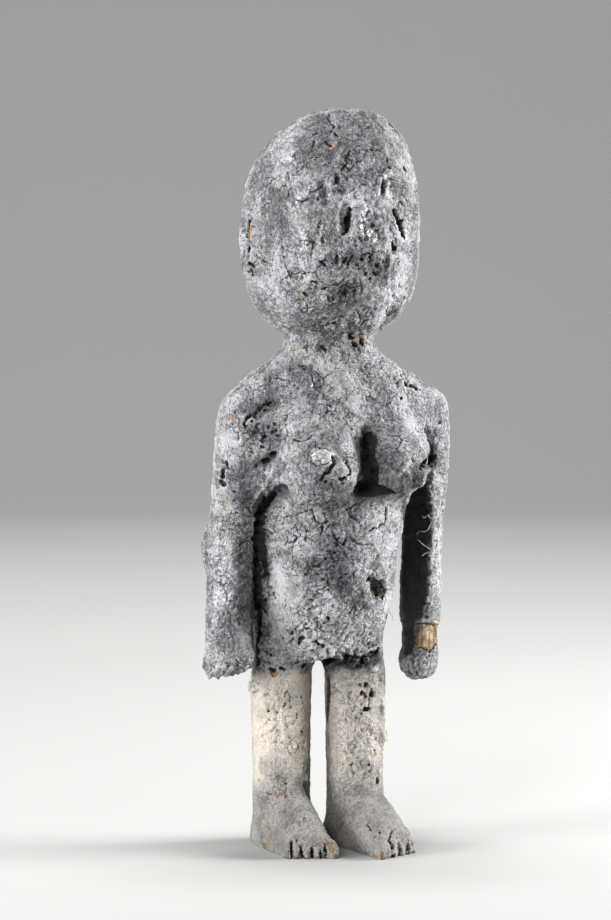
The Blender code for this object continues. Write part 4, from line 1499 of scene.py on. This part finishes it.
def end_tree(
    w: Wiring, geometry: bpy.types.NodeSocket, material: bpy.types.NodeSocket, made: bpy.types.NodeInputs
) -> bpy.types.NodeTree:
    """Gives a geometry its material and puts it out of the tree.

    Args:
        w: The tree's wiring.
        geometry: The geometry.
        material: The material.
        made: The output node's inputs.

    Returns:
        The geometry tree.
    """
    paint = w.node("GeometryNodeSetMaterial")
    w.feed(paint.inputs["Geometry"], geometry)
    w.feed(paint.inputs["Material"], material)
    w.feed(made["Geometry"], paint.outputs[0])
    return w.tree


def crumb_tree() -> bpy.types.NodeTree:
    """Scatters lumpy crumbs over a mesh, half sunk into it, more where its rough layer is high.

    Returns:
        The geometry tree.
    """
    sizes = {"Density": 60000.0, "Rough density": 900000.0, "Smallest": 0.00028, "Largest": 0.0010}
    w, given, made = start_tree("crumbs", {**sizes, "Seed": 1})
    rough, bare = w.field("rough"), w.opposite(w.field("smooth"))
    density = w.plus(given["Density"], w.times(rough, given["Rough density"]))
    scatter = w.node("GeometryNodeDistributePointsOnFaces")
    w.feed(scatter.inputs["Mesh"], given["Geometry"])
    w.feed(scatter.inputs["Density"], w.times(density, bare))
    w.feed(scatter.inputs["Seed"], given["Seed"])
    crumb = w.node("GeometryNodeMeshIcoSphere")
    crumb.inputs["Radius"].default_value = 1.0
    crumb.inputs["Subdivisions"].default_value = 1
    growth = w.minus(w.random("FLOAT", given["Smallest"], given["Largest"]), given["Smallest"])
    growth = w.times(growth, w.plus(0.15, w.times(rough, 0.85)))
    radius = w.plus(given["Smallest"], growth)
    flat = w.node("ShaderNodeCombineXYZ")
    for socket, value in zip(flat.inputs, (radius, w.times(radius, 0.8), w.times(radius, 0.62))):
        w.feed(socket, value)
    place = w.node("GeometryNodeInstanceOnPoints")
    w.feed(place.inputs["Points"], scatter.outputs["Points"])
    w.feed(place.inputs["Instance"], crumb.outputs["Mesh"])
    w.feed(place.inputs["Scale"], flat.outputs[0])
    w.feed(place.inputs["Rotation"], w.random("FLOAT_VECTOR", (0, 0, 0), (math.tau,) * 3))
    join = w.node("GeometryNodeJoinGeometry")
    w.feed(join.inputs[0], w.realized(place.outputs["Instances"]))
    w.feed(join.inputs[0], given["Geometry"])
    return end_tree(w, join.outputs[0], given["Material"], made)


def crust_tree() -> bpy.types.NodeTree:
    """Grows the crust: lumps, knobs, grains, plates parted by cracks, and pits.

    Returns:
        The geometry tree.
    """
    sizes = {
        "Lump size": 0.0075,
        "Lump height": 0.0008,
        "Knob size": 0.0022,
        "Knob height": 0.0011,
        "Knob patch": 0.009,
        "Grain size": 0.0014,
        "Grain height": 0.0005,
        "Crack spacing": 0.0075,
        "Crack width": 0.0004,
        "Crack depth": 0.0005,
        "Pit size": 0.0034,
        "Pit depth": 0.0008,
        "Thickness": -0.0001,
    }
    w, given, made = start_tree("crust", sizes)
    place = w.node("GeometryNodeInputPosition").outputs[0]
    crust = w.opposite(w.field("smooth"))
    rough = w.field("rough")
    rested = w.store(given["Geometry"], "rest", place, "FLOAT_VECTOR")

    bent = w.noise_vector(place, *LUMP_BEND)
    lumps = w.minus(w.noise(bent, given["Lump size"], 3.0, 0.55), 0.5)
    lumps = w.times(w.times(lumps, given["Lump height"]), 3.0)
    bent = w.noise_vector(place, *KNOB_BEND)
    knobs = w.minus(0.55, w.cells(bent, given["Knob size"], "F1", "Distance"))
    patchy = w.step(w.noise(place, given["Knob patch"], 2.0), 0.42, 0.62)
    amount = w.plus(w.total((patchy, 0.50), (rough, 0.8)), 0.12)
    knobs = w.times(knobs, w.times(amount, given["Knob height"]))
    grains = w.minus(w.noise(place, given["Grain size"], 3.0, 0.65), 0.5)
    grains = w.times(grains, w.times(given["Grain height"], 3.0))
    cracks = crack_mask(w, place, given["Crack spacing"], given["Crack width"])
    cracks = w.times(cracks, w.step(crust, 0.4, 0.8))
    holes = w.cells(bent, given["Pit size"], "F1", "Distance")
    share = w.node("ShaderNodeSeparateXYZ")
    w.feed(share.inputs[0], w.cells(bent, given["Pit size"], "F1", "Color"))
    wanted = w.plus(0.035, w.times(rough, 0.30))
    chosen = w.math("LESS_THAN", share.outputs[0], wanted)
    round_hole = w.opposite(w.step(holes, 0.10, 0.32))
    pits = w.times(w.times(round_hole, chosen), crust)

    rise = w.plus(lumps, knobs)
    rise = w.times(rise, w.plus(0.25, w.times(crust, 0.75)))
    rise = w.plus(rise, w.times(grains, w.plus(0.45, w.times(crust, 0.55))))
    # How high the crust stands, stored as height, which the material uses to paint raised crust paler and
    # low crust darker, as painted light and shade.
    high = w.step(rise, -0.0004, 0.0006)
    rise = w.plus(rise, w.times(given["Thickness"], crust))
    rise = w.minus(rise, w.times(cracks, given["Crack depth"]))
    rise = w.minus(rise, w.times(pits, given["Pit depth"]))
    move = w.node("GeometryNodeSetPosition")
    w.feed(move.inputs["Geometry"], rested)
    normal = w.node("GeometryNodeInputNormal").outputs[0]
    w.feed(move.inputs["Offset"], w.scaled(normal, rise))
    grooved = w.store(w.store(move.outputs[0], "height", high), "pits", pits)
    return end_tree(w, w.realized(grooved), given["Material"], made)


def fibre_tree() -> bpy.types.NodeTree:
    """Turns thin lines into crooked fibres.

    Returns:
        The geometry tree.
    """
    w, given, made = start_tree("fibres", {"Radius": 0.00014, "Crookedness": 0.0006})
    lines = w.node("GeometryNodeMeshToCurve")
    w.feed(lines.inputs["Mesh"], given["Geometry"])
    even = w.node("GeometryNodeResampleCurve", mode="LENGTH")
    w.feed(even.inputs["Curve"], lines.outputs[0])
    even.inputs["Length"].default_value = FIBRE_STEP
    colour = w.node("ShaderNodeTexNoise")
    w.feed(colour.inputs["Vector"], w.node("GeometryNodeInputPosition").outputs[0])
    colour.inputs["Scale"].default_value = FIBRE_KINKS
    centred = w.vector("SUBTRACT", colour.outputs[1], (0.5, 0.5, 0.5))
    move = w.node("GeometryNodeSetPosition")
    w.feed(move.inputs["Geometry"], even.outputs[0])
    w.feed(move.inputs["Offset"], w.scaled(centred, given["Crookedness"]))
    ring = w.node("GeometryNodeCurvePrimitiveCircle", mode="RADIUS")
    ring.inputs["Resolution"].default_value = FIBRE_SIDES
    w.feed(ring.inputs["Radius"], given["Radius"])
    tube = w.node("GeometryNodeCurveToMesh")
    tube.inputs["Fill Caps"].default_value = True
    w.feed(tube.inputs["Curve"], move.outputs[0])
    w.feed(tube.inputs["Profile Curve"], ring.outputs[0])
    return end_tree(w, w.realized(tube.outputs["Mesh"]), given["Material"], made)


@dataclass
class CrustedFigure:
    """The whole carving in its crust, made as one skin and parted for size where it is calm.

    Attributes:
        solid: The carved solid that it is made from.
        marker: What finds and makes the marks.
        material: The finish.
        form_step: Size of the first skin's faces, in metres.
        skin_step: Size of the last skin's faces.
        softening: How often the first skin is smoothed.
        toes_top: Height below which it is smoothed less.
        crust_edge: Height of the lower edge of the thick crust.
        edge_fade: How far below that edge the crust thins out.
        wave_size: Length of the waves in that edge.
        wave_height: Their height.
        leg_reach: How far the legs reach to each side.
        leg_bareness: How thin the crust on the legs is, from 0 to 1.
        rough_cover: How much of that rough places take back.
        wood_bareness: How thin it is on bare wood.
        foot_darkening_top: Height below which the crust is made darker towards the bottom.
        foot_darkening_fade: How far below that height the darkening reaches its strength.
        foot_darkening_strength: How dark it gets.
        foot_darkening_waves: Height of the waves in its edge, as a share of those in the crust's edge.
        pit_darkness: How dark the small pits of the crust are painted inside, as painted shade.
        crust_depth: How far the first skin is sunk to make room for the crust.
        margin: How far inside the solid's box the skin starts to be held back.
        sole: Heights below which the skin is flat and above which it is free.
        levels: Heights at which the skin is parted, with the name of the piece below each.
    """

    solid: bpy.types.Object
    marker: Marker
    material: bpy.types.Material
    form_step: float = 0.75 * MM
    skin_step: float = 0.46 * MM
    quick_factor: float = 2.0
    softening: int = 14
    toes_top: float = 20 * MM
    crust_edge: float = 69 * MM
    edge_fade: float = 3 * MM
    wave_size: float = 6 * MM
    wave_height: float = 2.2 * MM
    leg_reach: float = 31 * MM
    leg_bareness: float = 0.55
    rough_cover: float = 0.8
    wood_bareness: float = 0.9
    foot_darkening_top: float = 31 * MM
    foot_darkening_fade: float = 12 * MM
    foot_darkening_strength: float = 0.80
    foot_darkening_waves: float = 0.6
    pit_darkness: float = 0.8
    crust_depth: float = 0.35 * MM
    margin: float = 0.6 * MM
    sole: tuple[float, float] = (0.25 * MM, 0.9 * MM)
    levels: tuple[tuple[str, float], ...] = (
        ("legs_and_feet", 57 * MM),
        ("hips_and_hands", 104 * MM),
        ("waist_and_forearms", 141.5 * MM),
        ("chest_and_shoulders", 194.5 * MM),
        ("face", 246 * MM),
        ("crown", 400 * MM),
    )

    def one_skin(self) -> bpy.types.Object:
        """A smoothed copy of the solid with its broad forms.

        Returns:
            The skin.
        """
        mesh = self.solid.data.copy()
        joined = bmesh.new()
        joined.from_mesh(mesh)
        bmesh.ops.remove_doubles(joined, verts=joined.verts, dist=0.001 * MM)
        joined.to_mesh(mesh)
        joined.free()
        skin = new_piece("skin", mesh)
        self.remesh(skin, self.form_step)
        group = skin.vertex_groups.new(name="softened")
        heights = read_points(skin.data)[:, 2]
        for weight, chosen in ((1.0, heights > self.toes_top), (0.5, heights <= self.toes_top)):
            group.add(np.flatnonzero(chosen).tolist(), weight, "REPLACE")
        soften = skin.modifiers.new("soften", "SMOOTH")
        soften.factor = 0.5
        soften.iterations = self.softening
        soften.vertex_group = group.name
        plain_mesh(skin)
        write_points(skin.data, read_points(skin.data) - read_normals(skin.data) * self.crust_depth)
        self.marker.make(skin.data, HEAD_FORMS + BODY_FORMS + LEG_FORMS, {})
        return skin

    @staticmethod
    def remesh(skin: bpy.types.Object, step: float) -> None:
        """Makes a skin of even faces.

        Args:
            skin: The skin.
            step: Size of the faces, in metres.
        """
        modifier = skin.modifiers.new("even_skin", "REMESH")
        modifier.mode = "VOXEL"
        modifier.voxel_size = step
        modifier.use_smooth_shade = True
        plain_mesh(skin)

    def paint(self, mesh: bpy.types.Mesh) -> dict[str, np.ndarray]:
        """Layers that say where the crust is rough, thin, stained, painted with shade, darkened or gone.

        Args:
            mesh: The skin.

        Returns:
            The layers by name.
        """
        points = read_points(mesh)
        heights = points[:, 2]
        layers = {name: np.zeros(len(points)) for name in (*PAINT_LAYERS.values(), "groove")}
        uneven = ripple(points, self.wave_size, SEED) * self.wave_height
        below = 1 - smooth_step(heights + uneven, self.crust_edge - self.edge_fade, self.crust_edge)
        layers["legs"] = below * (np.abs(points[:, 0]) < self.leg_reach)
        layers["smooth"] = layers["legs"] * self.leg_bareness
        # The crust is made darker towards the bottom, on the dark layer.
        uneven *= self.foot_darkening_waves
        foot_darkening = 1 - smooth_step(heights + uneven, self.foot_darkening_top - self.foot_darkening_fade, self.foot_darkening_top)
        layers["dark"] = self.foot_darkening_strength * foot_darkening
        self.marker.make(mesh, ROUGH_PLACES + STAINS_AND_PAINTED_SHADE, layers)
        bare = layers["smooth"] * (1 - self.rough_cover * layers["rough"])
        layers["smooth"] = np.maximum(bare, layers["wood"] * self.wood_bareness)
        return layers

    @staticmethod
    def store(mesh: bpy.types.Mesh, layers: dict[str, np.ndarray]) -> None:
        """Writes layers to a mesh."""
        for name, values in layers.items():
            write_layer(mesh, name, values)

    def grow(self) -> bpy.types.Object:
        """The skin with its crumbs, crust and marks.

        Returns:
            The skin.
        """
        skin = self.one_skin()
        log.info("form: %d faces", len(skin.data.polygons))
        self.marker.add_crumbs(skin.data, CRUMBS)
        self.store(skin.data, self.paint(skin.data))
        add_tree(skin, crumb_tree(), {"Seed": SEED, "Material": self.material})
        self.remesh(skin, self.skin_step * (1.0))
        log.info("skin: %d faces", len(skin.data.polygons))
        layers = self.paint(skin.data)
        self.store(skin.data, layers)
        add_tree(skin, crust_tree(), {"Material": self.material})
        pits = read(skin.data.attributes["pits"].data, "value").astype(np.float64)
        # The crust's pits are painted dark inside, as painted shade.
        layers["groove"] = self.pit_darkness * pits
        self.marker.make(skin.data, HEAD_MARKS + BODY_MARKS + LEG_MARKS, layers)
        # How sunk each point is, which the material uses for painted shade in hollows.
        layers["hollow"] = hollowness(skin.data)
        self.store(skin.data, layers)
        self.settle(skin.data)
        return skin

    def settle(self, mesh: bpy.types.Mesh) -> None:
        """Keeps the skin inside the carved solid's box and its soles flat.

        Args:
            mesh: The skin's mesh.
        """
        points = read_points(mesh)
        low, high = (np.array(corner) for corner in CAD_BOX)
        for axis, side, limit in ((0, -1, low), (0, 1, high), (1, -1, low), (1, 1, high), (2, 1, high)):
            over = (points[:, axis] - limit[axis]) * side + self.margin
            held = over > 0
            eased = self.margin * (1 - np.exp(-over[held] / self.margin)) - self.margin
            points[held, axis] = limit[axis] + side * eased
        rest = read(mesh.attributes["rest"].data, "vector", 3)
        sole = 1 - smooth_step(rest[:, 2], *self.sole)
        points[:, 2] = np.maximum(points[:, 2] * (1 - sole), 0)
        write_points(mesh, points)

    def part(self, skin: bpy.types.Object) -> list[bpy.types.Object]:
        """Parts the skin at level planes, with the same shading on both sides of each.

        Args:
            skin: The finished skin.

        Returns:
            The pieces, from the feet up.
        """
        write_layer(skin.data, "shading", read_normals(skin.data))
        whole = bmesh.new()
        whole.from_mesh(skin.data)
        pieces = []
        for name, level in self.levels:
            lower = whole.copy() if level < CAD_BOX[1].z else whole
            if lower is not whole:
                self.cut(whole, level, keep_above=True)
                self.cut(lower, level, keep_above=False)
            pieces.append(self.finish(name, lower))
        return pieces

    @staticmethod
    def cut(shape: bmesh.types.BMesh, level: float, keep_above: bool) -> None:
        """Cuts a shape at a level and closes the cut.

        Args:
            shape: The shape.
            level: The level, in metres above the floor.
            keep_above: Whether what lies above it stays, or else what lies below.
        """
        bmesh.ops.bisect_plane(
            shape,
            geom=[*shape.verts, *shape.edges, *shape.faces],
            plane_co=(0, 0, level),
            plane_no=(0, 0, 1),
            clear_inner=keep_above,
            clear_outer=not keep_above,
        )
        rim = [edge for edge in shape.edges if edge.is_boundary]
        filled = bmesh.ops.holes_fill(shape, edges=rim, sides=0)["faces"]
        for face in filled:
            face.smooth = False
        bmesh.ops.triangulate(shape, faces=filled)

    def finish(self, name: str, shape: bmesh.types.BMesh) -> bpy.types.Object:
        """Makes a piece from a closed shape and dresses it.

        Args:
            name: The piece's name.
            shape: The shape, which is used up.

        Returns:
            The piece.
        """
        mesh = bpy.data.meshes.new(name)
        shape.to_mesh(mesh)
        shape.free()
        mesh.validate(clean_customdata=False)
        mesh.materials.append(self.material)
        piece = new_piece(name, mesh)
        normals = read(mesh.attributes["shading"].data, "vector", 3)
        corners = read(mesh.loops, "vertex_index", kind=np.int32)
        smooth = read(mesh.polygons, "use_smooth", kind=bool)
        sides = read(mesh.polygons, "loop_total", kind=np.int32)
        mesh.normals_split_custom_set((normals[corners] * np.repeat(smooth, sides)[:, None]).tolist())
        for layer in ("shading", "pits", "rough", "smooth"):
            mesh.attributes.remove(mesh.attributes[layer])
        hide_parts(NODE)
        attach(piece, BODY)
        return piece


@dataclass
class Fibres:
    """Dry plant fibres caught in the crust.

    Attributes:
        marker: What finds the places.
        material: Their finish.
        radius: Half their thickness.
        lift: How far they lie in front of the crust.
        lines: Their courses on the picture plane. The first place of each is on the figure.
    """

    marker: Marker
    material: bpy.types.Material
    radius: float = 0.15 * MM
    lift: float = 0.5 * MM
    lines: tuple[tuple[Pixel, ...], ...] = (
        course("433 520, 430 518, 428 515, 424 518, 422 516"),
        course("432 522, 429 527, 428 530, 424 532, 419 531, 417 534"),
        course("433 551, 428 548, 422 544, 418 540"),
        course("432 550, 430 553, 426 553, 422 556"),
        course("389 611, 391 614, 393 617, 393 620"),
        course("378 644, 381 643, 382 648"),
        course("254 168, 251 172, 249 177, 248 180"),
        course("262 192, 258 196, 256 201"),
    )

    def route(self, line: tuple[Pixel, ...]) -> list[Vector]:
        """Places along a fibre, in the plane that faces the camera where it starts.

        Args:
            line: Its course on the picture plane.

        Returns:
            The places, or none where its first place misses the figure.
        """
        camera = self.marker.camera
        forward = camera.ray((camera.width / 2, camera.height / 2))
        start = self.marker.hit(line[0])
        if start is None:
            log.warning("a fibre at %s misses the figure", line[0])
            return []
        depth = (start[0] - camera.place).dot(forward)
        spots = []
        for pixel in line:
            ray = camera.ray(pixel)
            reach = depth / ray.dot(forward)
            behind = self.marker.hit(pixel)
            if behind is not None:
                reach = min(reach, (behind[0] - camera.place).length - self.lift)
            spots.append(camera.place + ray * reach)
        return spots

    def build(self) -> bpy.types.Object:
        """Makes the fibres.

        Returns:
            The piece that holds them all.
        """
        shape = bmesh.new()
        for line in self.lines:
            spots = [shape.verts.new(spot) for spot in self.route(line)]
            for pair in zip(spots, spots[1:]):
                shape.edges.new(pair)
        mesh = bpy.data.meshes.new("fibres")
        shape.to_mesh(mesh)
        shape.free()
        piece = new_piece("fibres", mesh)
        add_tree(piece, fibre_tree(), {"Radius": self.radius, "Material": self.material})
        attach(piece, BODY)
        return piece


@dataclass(frozen=True)
class Lamp:
    """One soft lamp, placed by the camera's view.

    Attributes:
        name: Its name.
        side: How far to the right of the view, in metres.
        ahead: How far behind the figure, or in front where negative.
        height: Height of its middle.
        size: Its width and height.
        power: Its power in watts.
        target: What it faces: how far to the right, ahead and up.
    """

    name: str
    side: float
    ahead: float
    height: float
    size: float
    power: float
    target: tuple[float, float, float] = (0.0, 0.0, 0.13)


@dataclass
class Studio:
    """A plain pale floor that curves up all round, and soft lights.

    Attributes:
        camera: The camera, whose view the lights are placed by.
        finish: The floor's finish.
        floor_radius: How far the flat floor reaches.
        wall_height: How high its curved edge rises.
        curve_steps: How many bands the curve has.
        round_steps: How many faces it has all round.
        lamps: The lamps.
        sky: Colour of the surrounding light.
        sky_strength: Its strength.
    """

    camera: PhotoCamera
    finish: FloorFinish
    floor_radius: float = 2.2
    wall_height: float = 1.6
    curve_steps: int = 12
    round_steps: int = 64
    lamps: tuple[Lamp, ...] = (
        Lamp("left_lamp", -0.80, -0.35, 0.26, 0.36, 15.0),
        Lamp("right_lamp", 0.85, 0.12, 0.28, 0.36, 23.0),
        Lamp("front_lamp", -0.45, -0.95, 0.60, 0.5, 9.0),
        Lamp("wall_lamp", 0.0, 0.3, 1.9, 0.9, 92.0, (0.0, 2.6, 0.6)),
    )
    sky: Colour = (0.93, 0.96, 1.0)
    sky_strength: float = 0.16

    def floor(self) -> bpy.types.Object:
        """Makes the floor and its curved edge.

        Returns:
            The floor.
        """
        shape = bmesh.new()
        profile = [Vector((0, 0, 0)), Vector((self.floor_radius, 0, 0))]
        for step in range(1, self.curve_steps + 1):
            angle = math.pi / 2 * step / self.curve_steps
            out = self.floor_radius + self.wall_height * math.sin(angle)
            profile.append(Vector((out, 0, self.wall_height * (1 - math.cos(angle)))))
        spots = [shape.verts.new(spot) for spot in profile]
        edges = [shape.edges.new(pair) for pair in zip(spots, spots[1:])]
        bmesh.ops.spin(
            shape,
            geom=[*spots, *edges],
            cent=(0, 0, 0),
            axis=(0, 0, 1),
            angle=math.tau,
            steps=self.round_steps,
        )
        bmesh.ops.remove_doubles(shape, verts=shape.verts, dist=0.1 * MM)
        bmesh.ops.recalc_face_normals(shape, faces=shape.faces)
        mesh = bpy.data.meshes.new("floor")
        shape.to_mesh(mesh)
        shape.free()
        mesh.shade_smooth()
        mesh.materials.append(floor_material(self.finish))
        floor = new_piece("floor", mesh)
        return floor

    def light(self, lamp: Lamp) -> None:
        """Adds one soft lamp.

        Args:
            lamp: The lamp.
        """
        data = bpy.data.lights.new(lamp.name, "AREA")
        data.size = lamp.size
        data.energy = lamp.power
        source = bpy.data.objects.new(lamp.name, data)
        turn = self.camera.azimuth
        right = Vector((math.cos(turn), math.sin(turn), 0))
        away = Vector((-math.sin(turn), math.cos(turn), 0))
        source.location = right * lamp.side + away * lamp.ahead + Vector((0, 0, lamp.height))
        aim = right * lamp.target[0] + away * lamp.target[1] + Vector((0, 0, lamp.target[2]))
        source.rotation_euler = (aim - source.location).to_track_quat("-Z", "Y").to_euler()
        bpy.context.scene.collection.objects.link(source)

    def build(self) -> bpy.types.Object:
        """Makes the floor, the lamps and the surrounding light.

        Returns:
            The floor.
        """
        floor = self.floor()
        for lamp in self.lamps:
            self.light(lamp)
        world = bpy.data.worlds.new("surroundings")
        world.use_nodes = True
        surround = world.node_tree.nodes["Background"].inputs
        surround["Color"].default_value = (*self.sky, 1.0)
        surround["Strength"].default_value = self.sky_strength
        bpy.context.scene.world = world
        bpy.context.scene.view_settings.view_transform = "Standard"
        return floor


def main() -> None:
    """Builds the studio and the dressed figure, and reports each piece."""
    logging.basicConfig(level=logging.INFO, format="%(name)s: %(message)s")
    camera = PhotoCamera()
    camera.build()
    report(Studio(camera, FloorFinish()).build())
    groups = ShaderGroups()
    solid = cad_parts[NODE]
    graph = bpy.context.evaluated_depsgraph_get()
    marker = Marker(camera, BVHTree.FromObject(solid, graph))
    figure = CrustedFigure(solid, marker, crust_material(CrustFinish(), groups))
    skin = figure.grow()
    for piece in figure.part(skin):
        report(piece)
    bpy.data.objects.remove(skin)
    report(Fibres(marker, fibre_material(FibreFinish(), groups)).build())


if __name__ == "__main__":
    main()
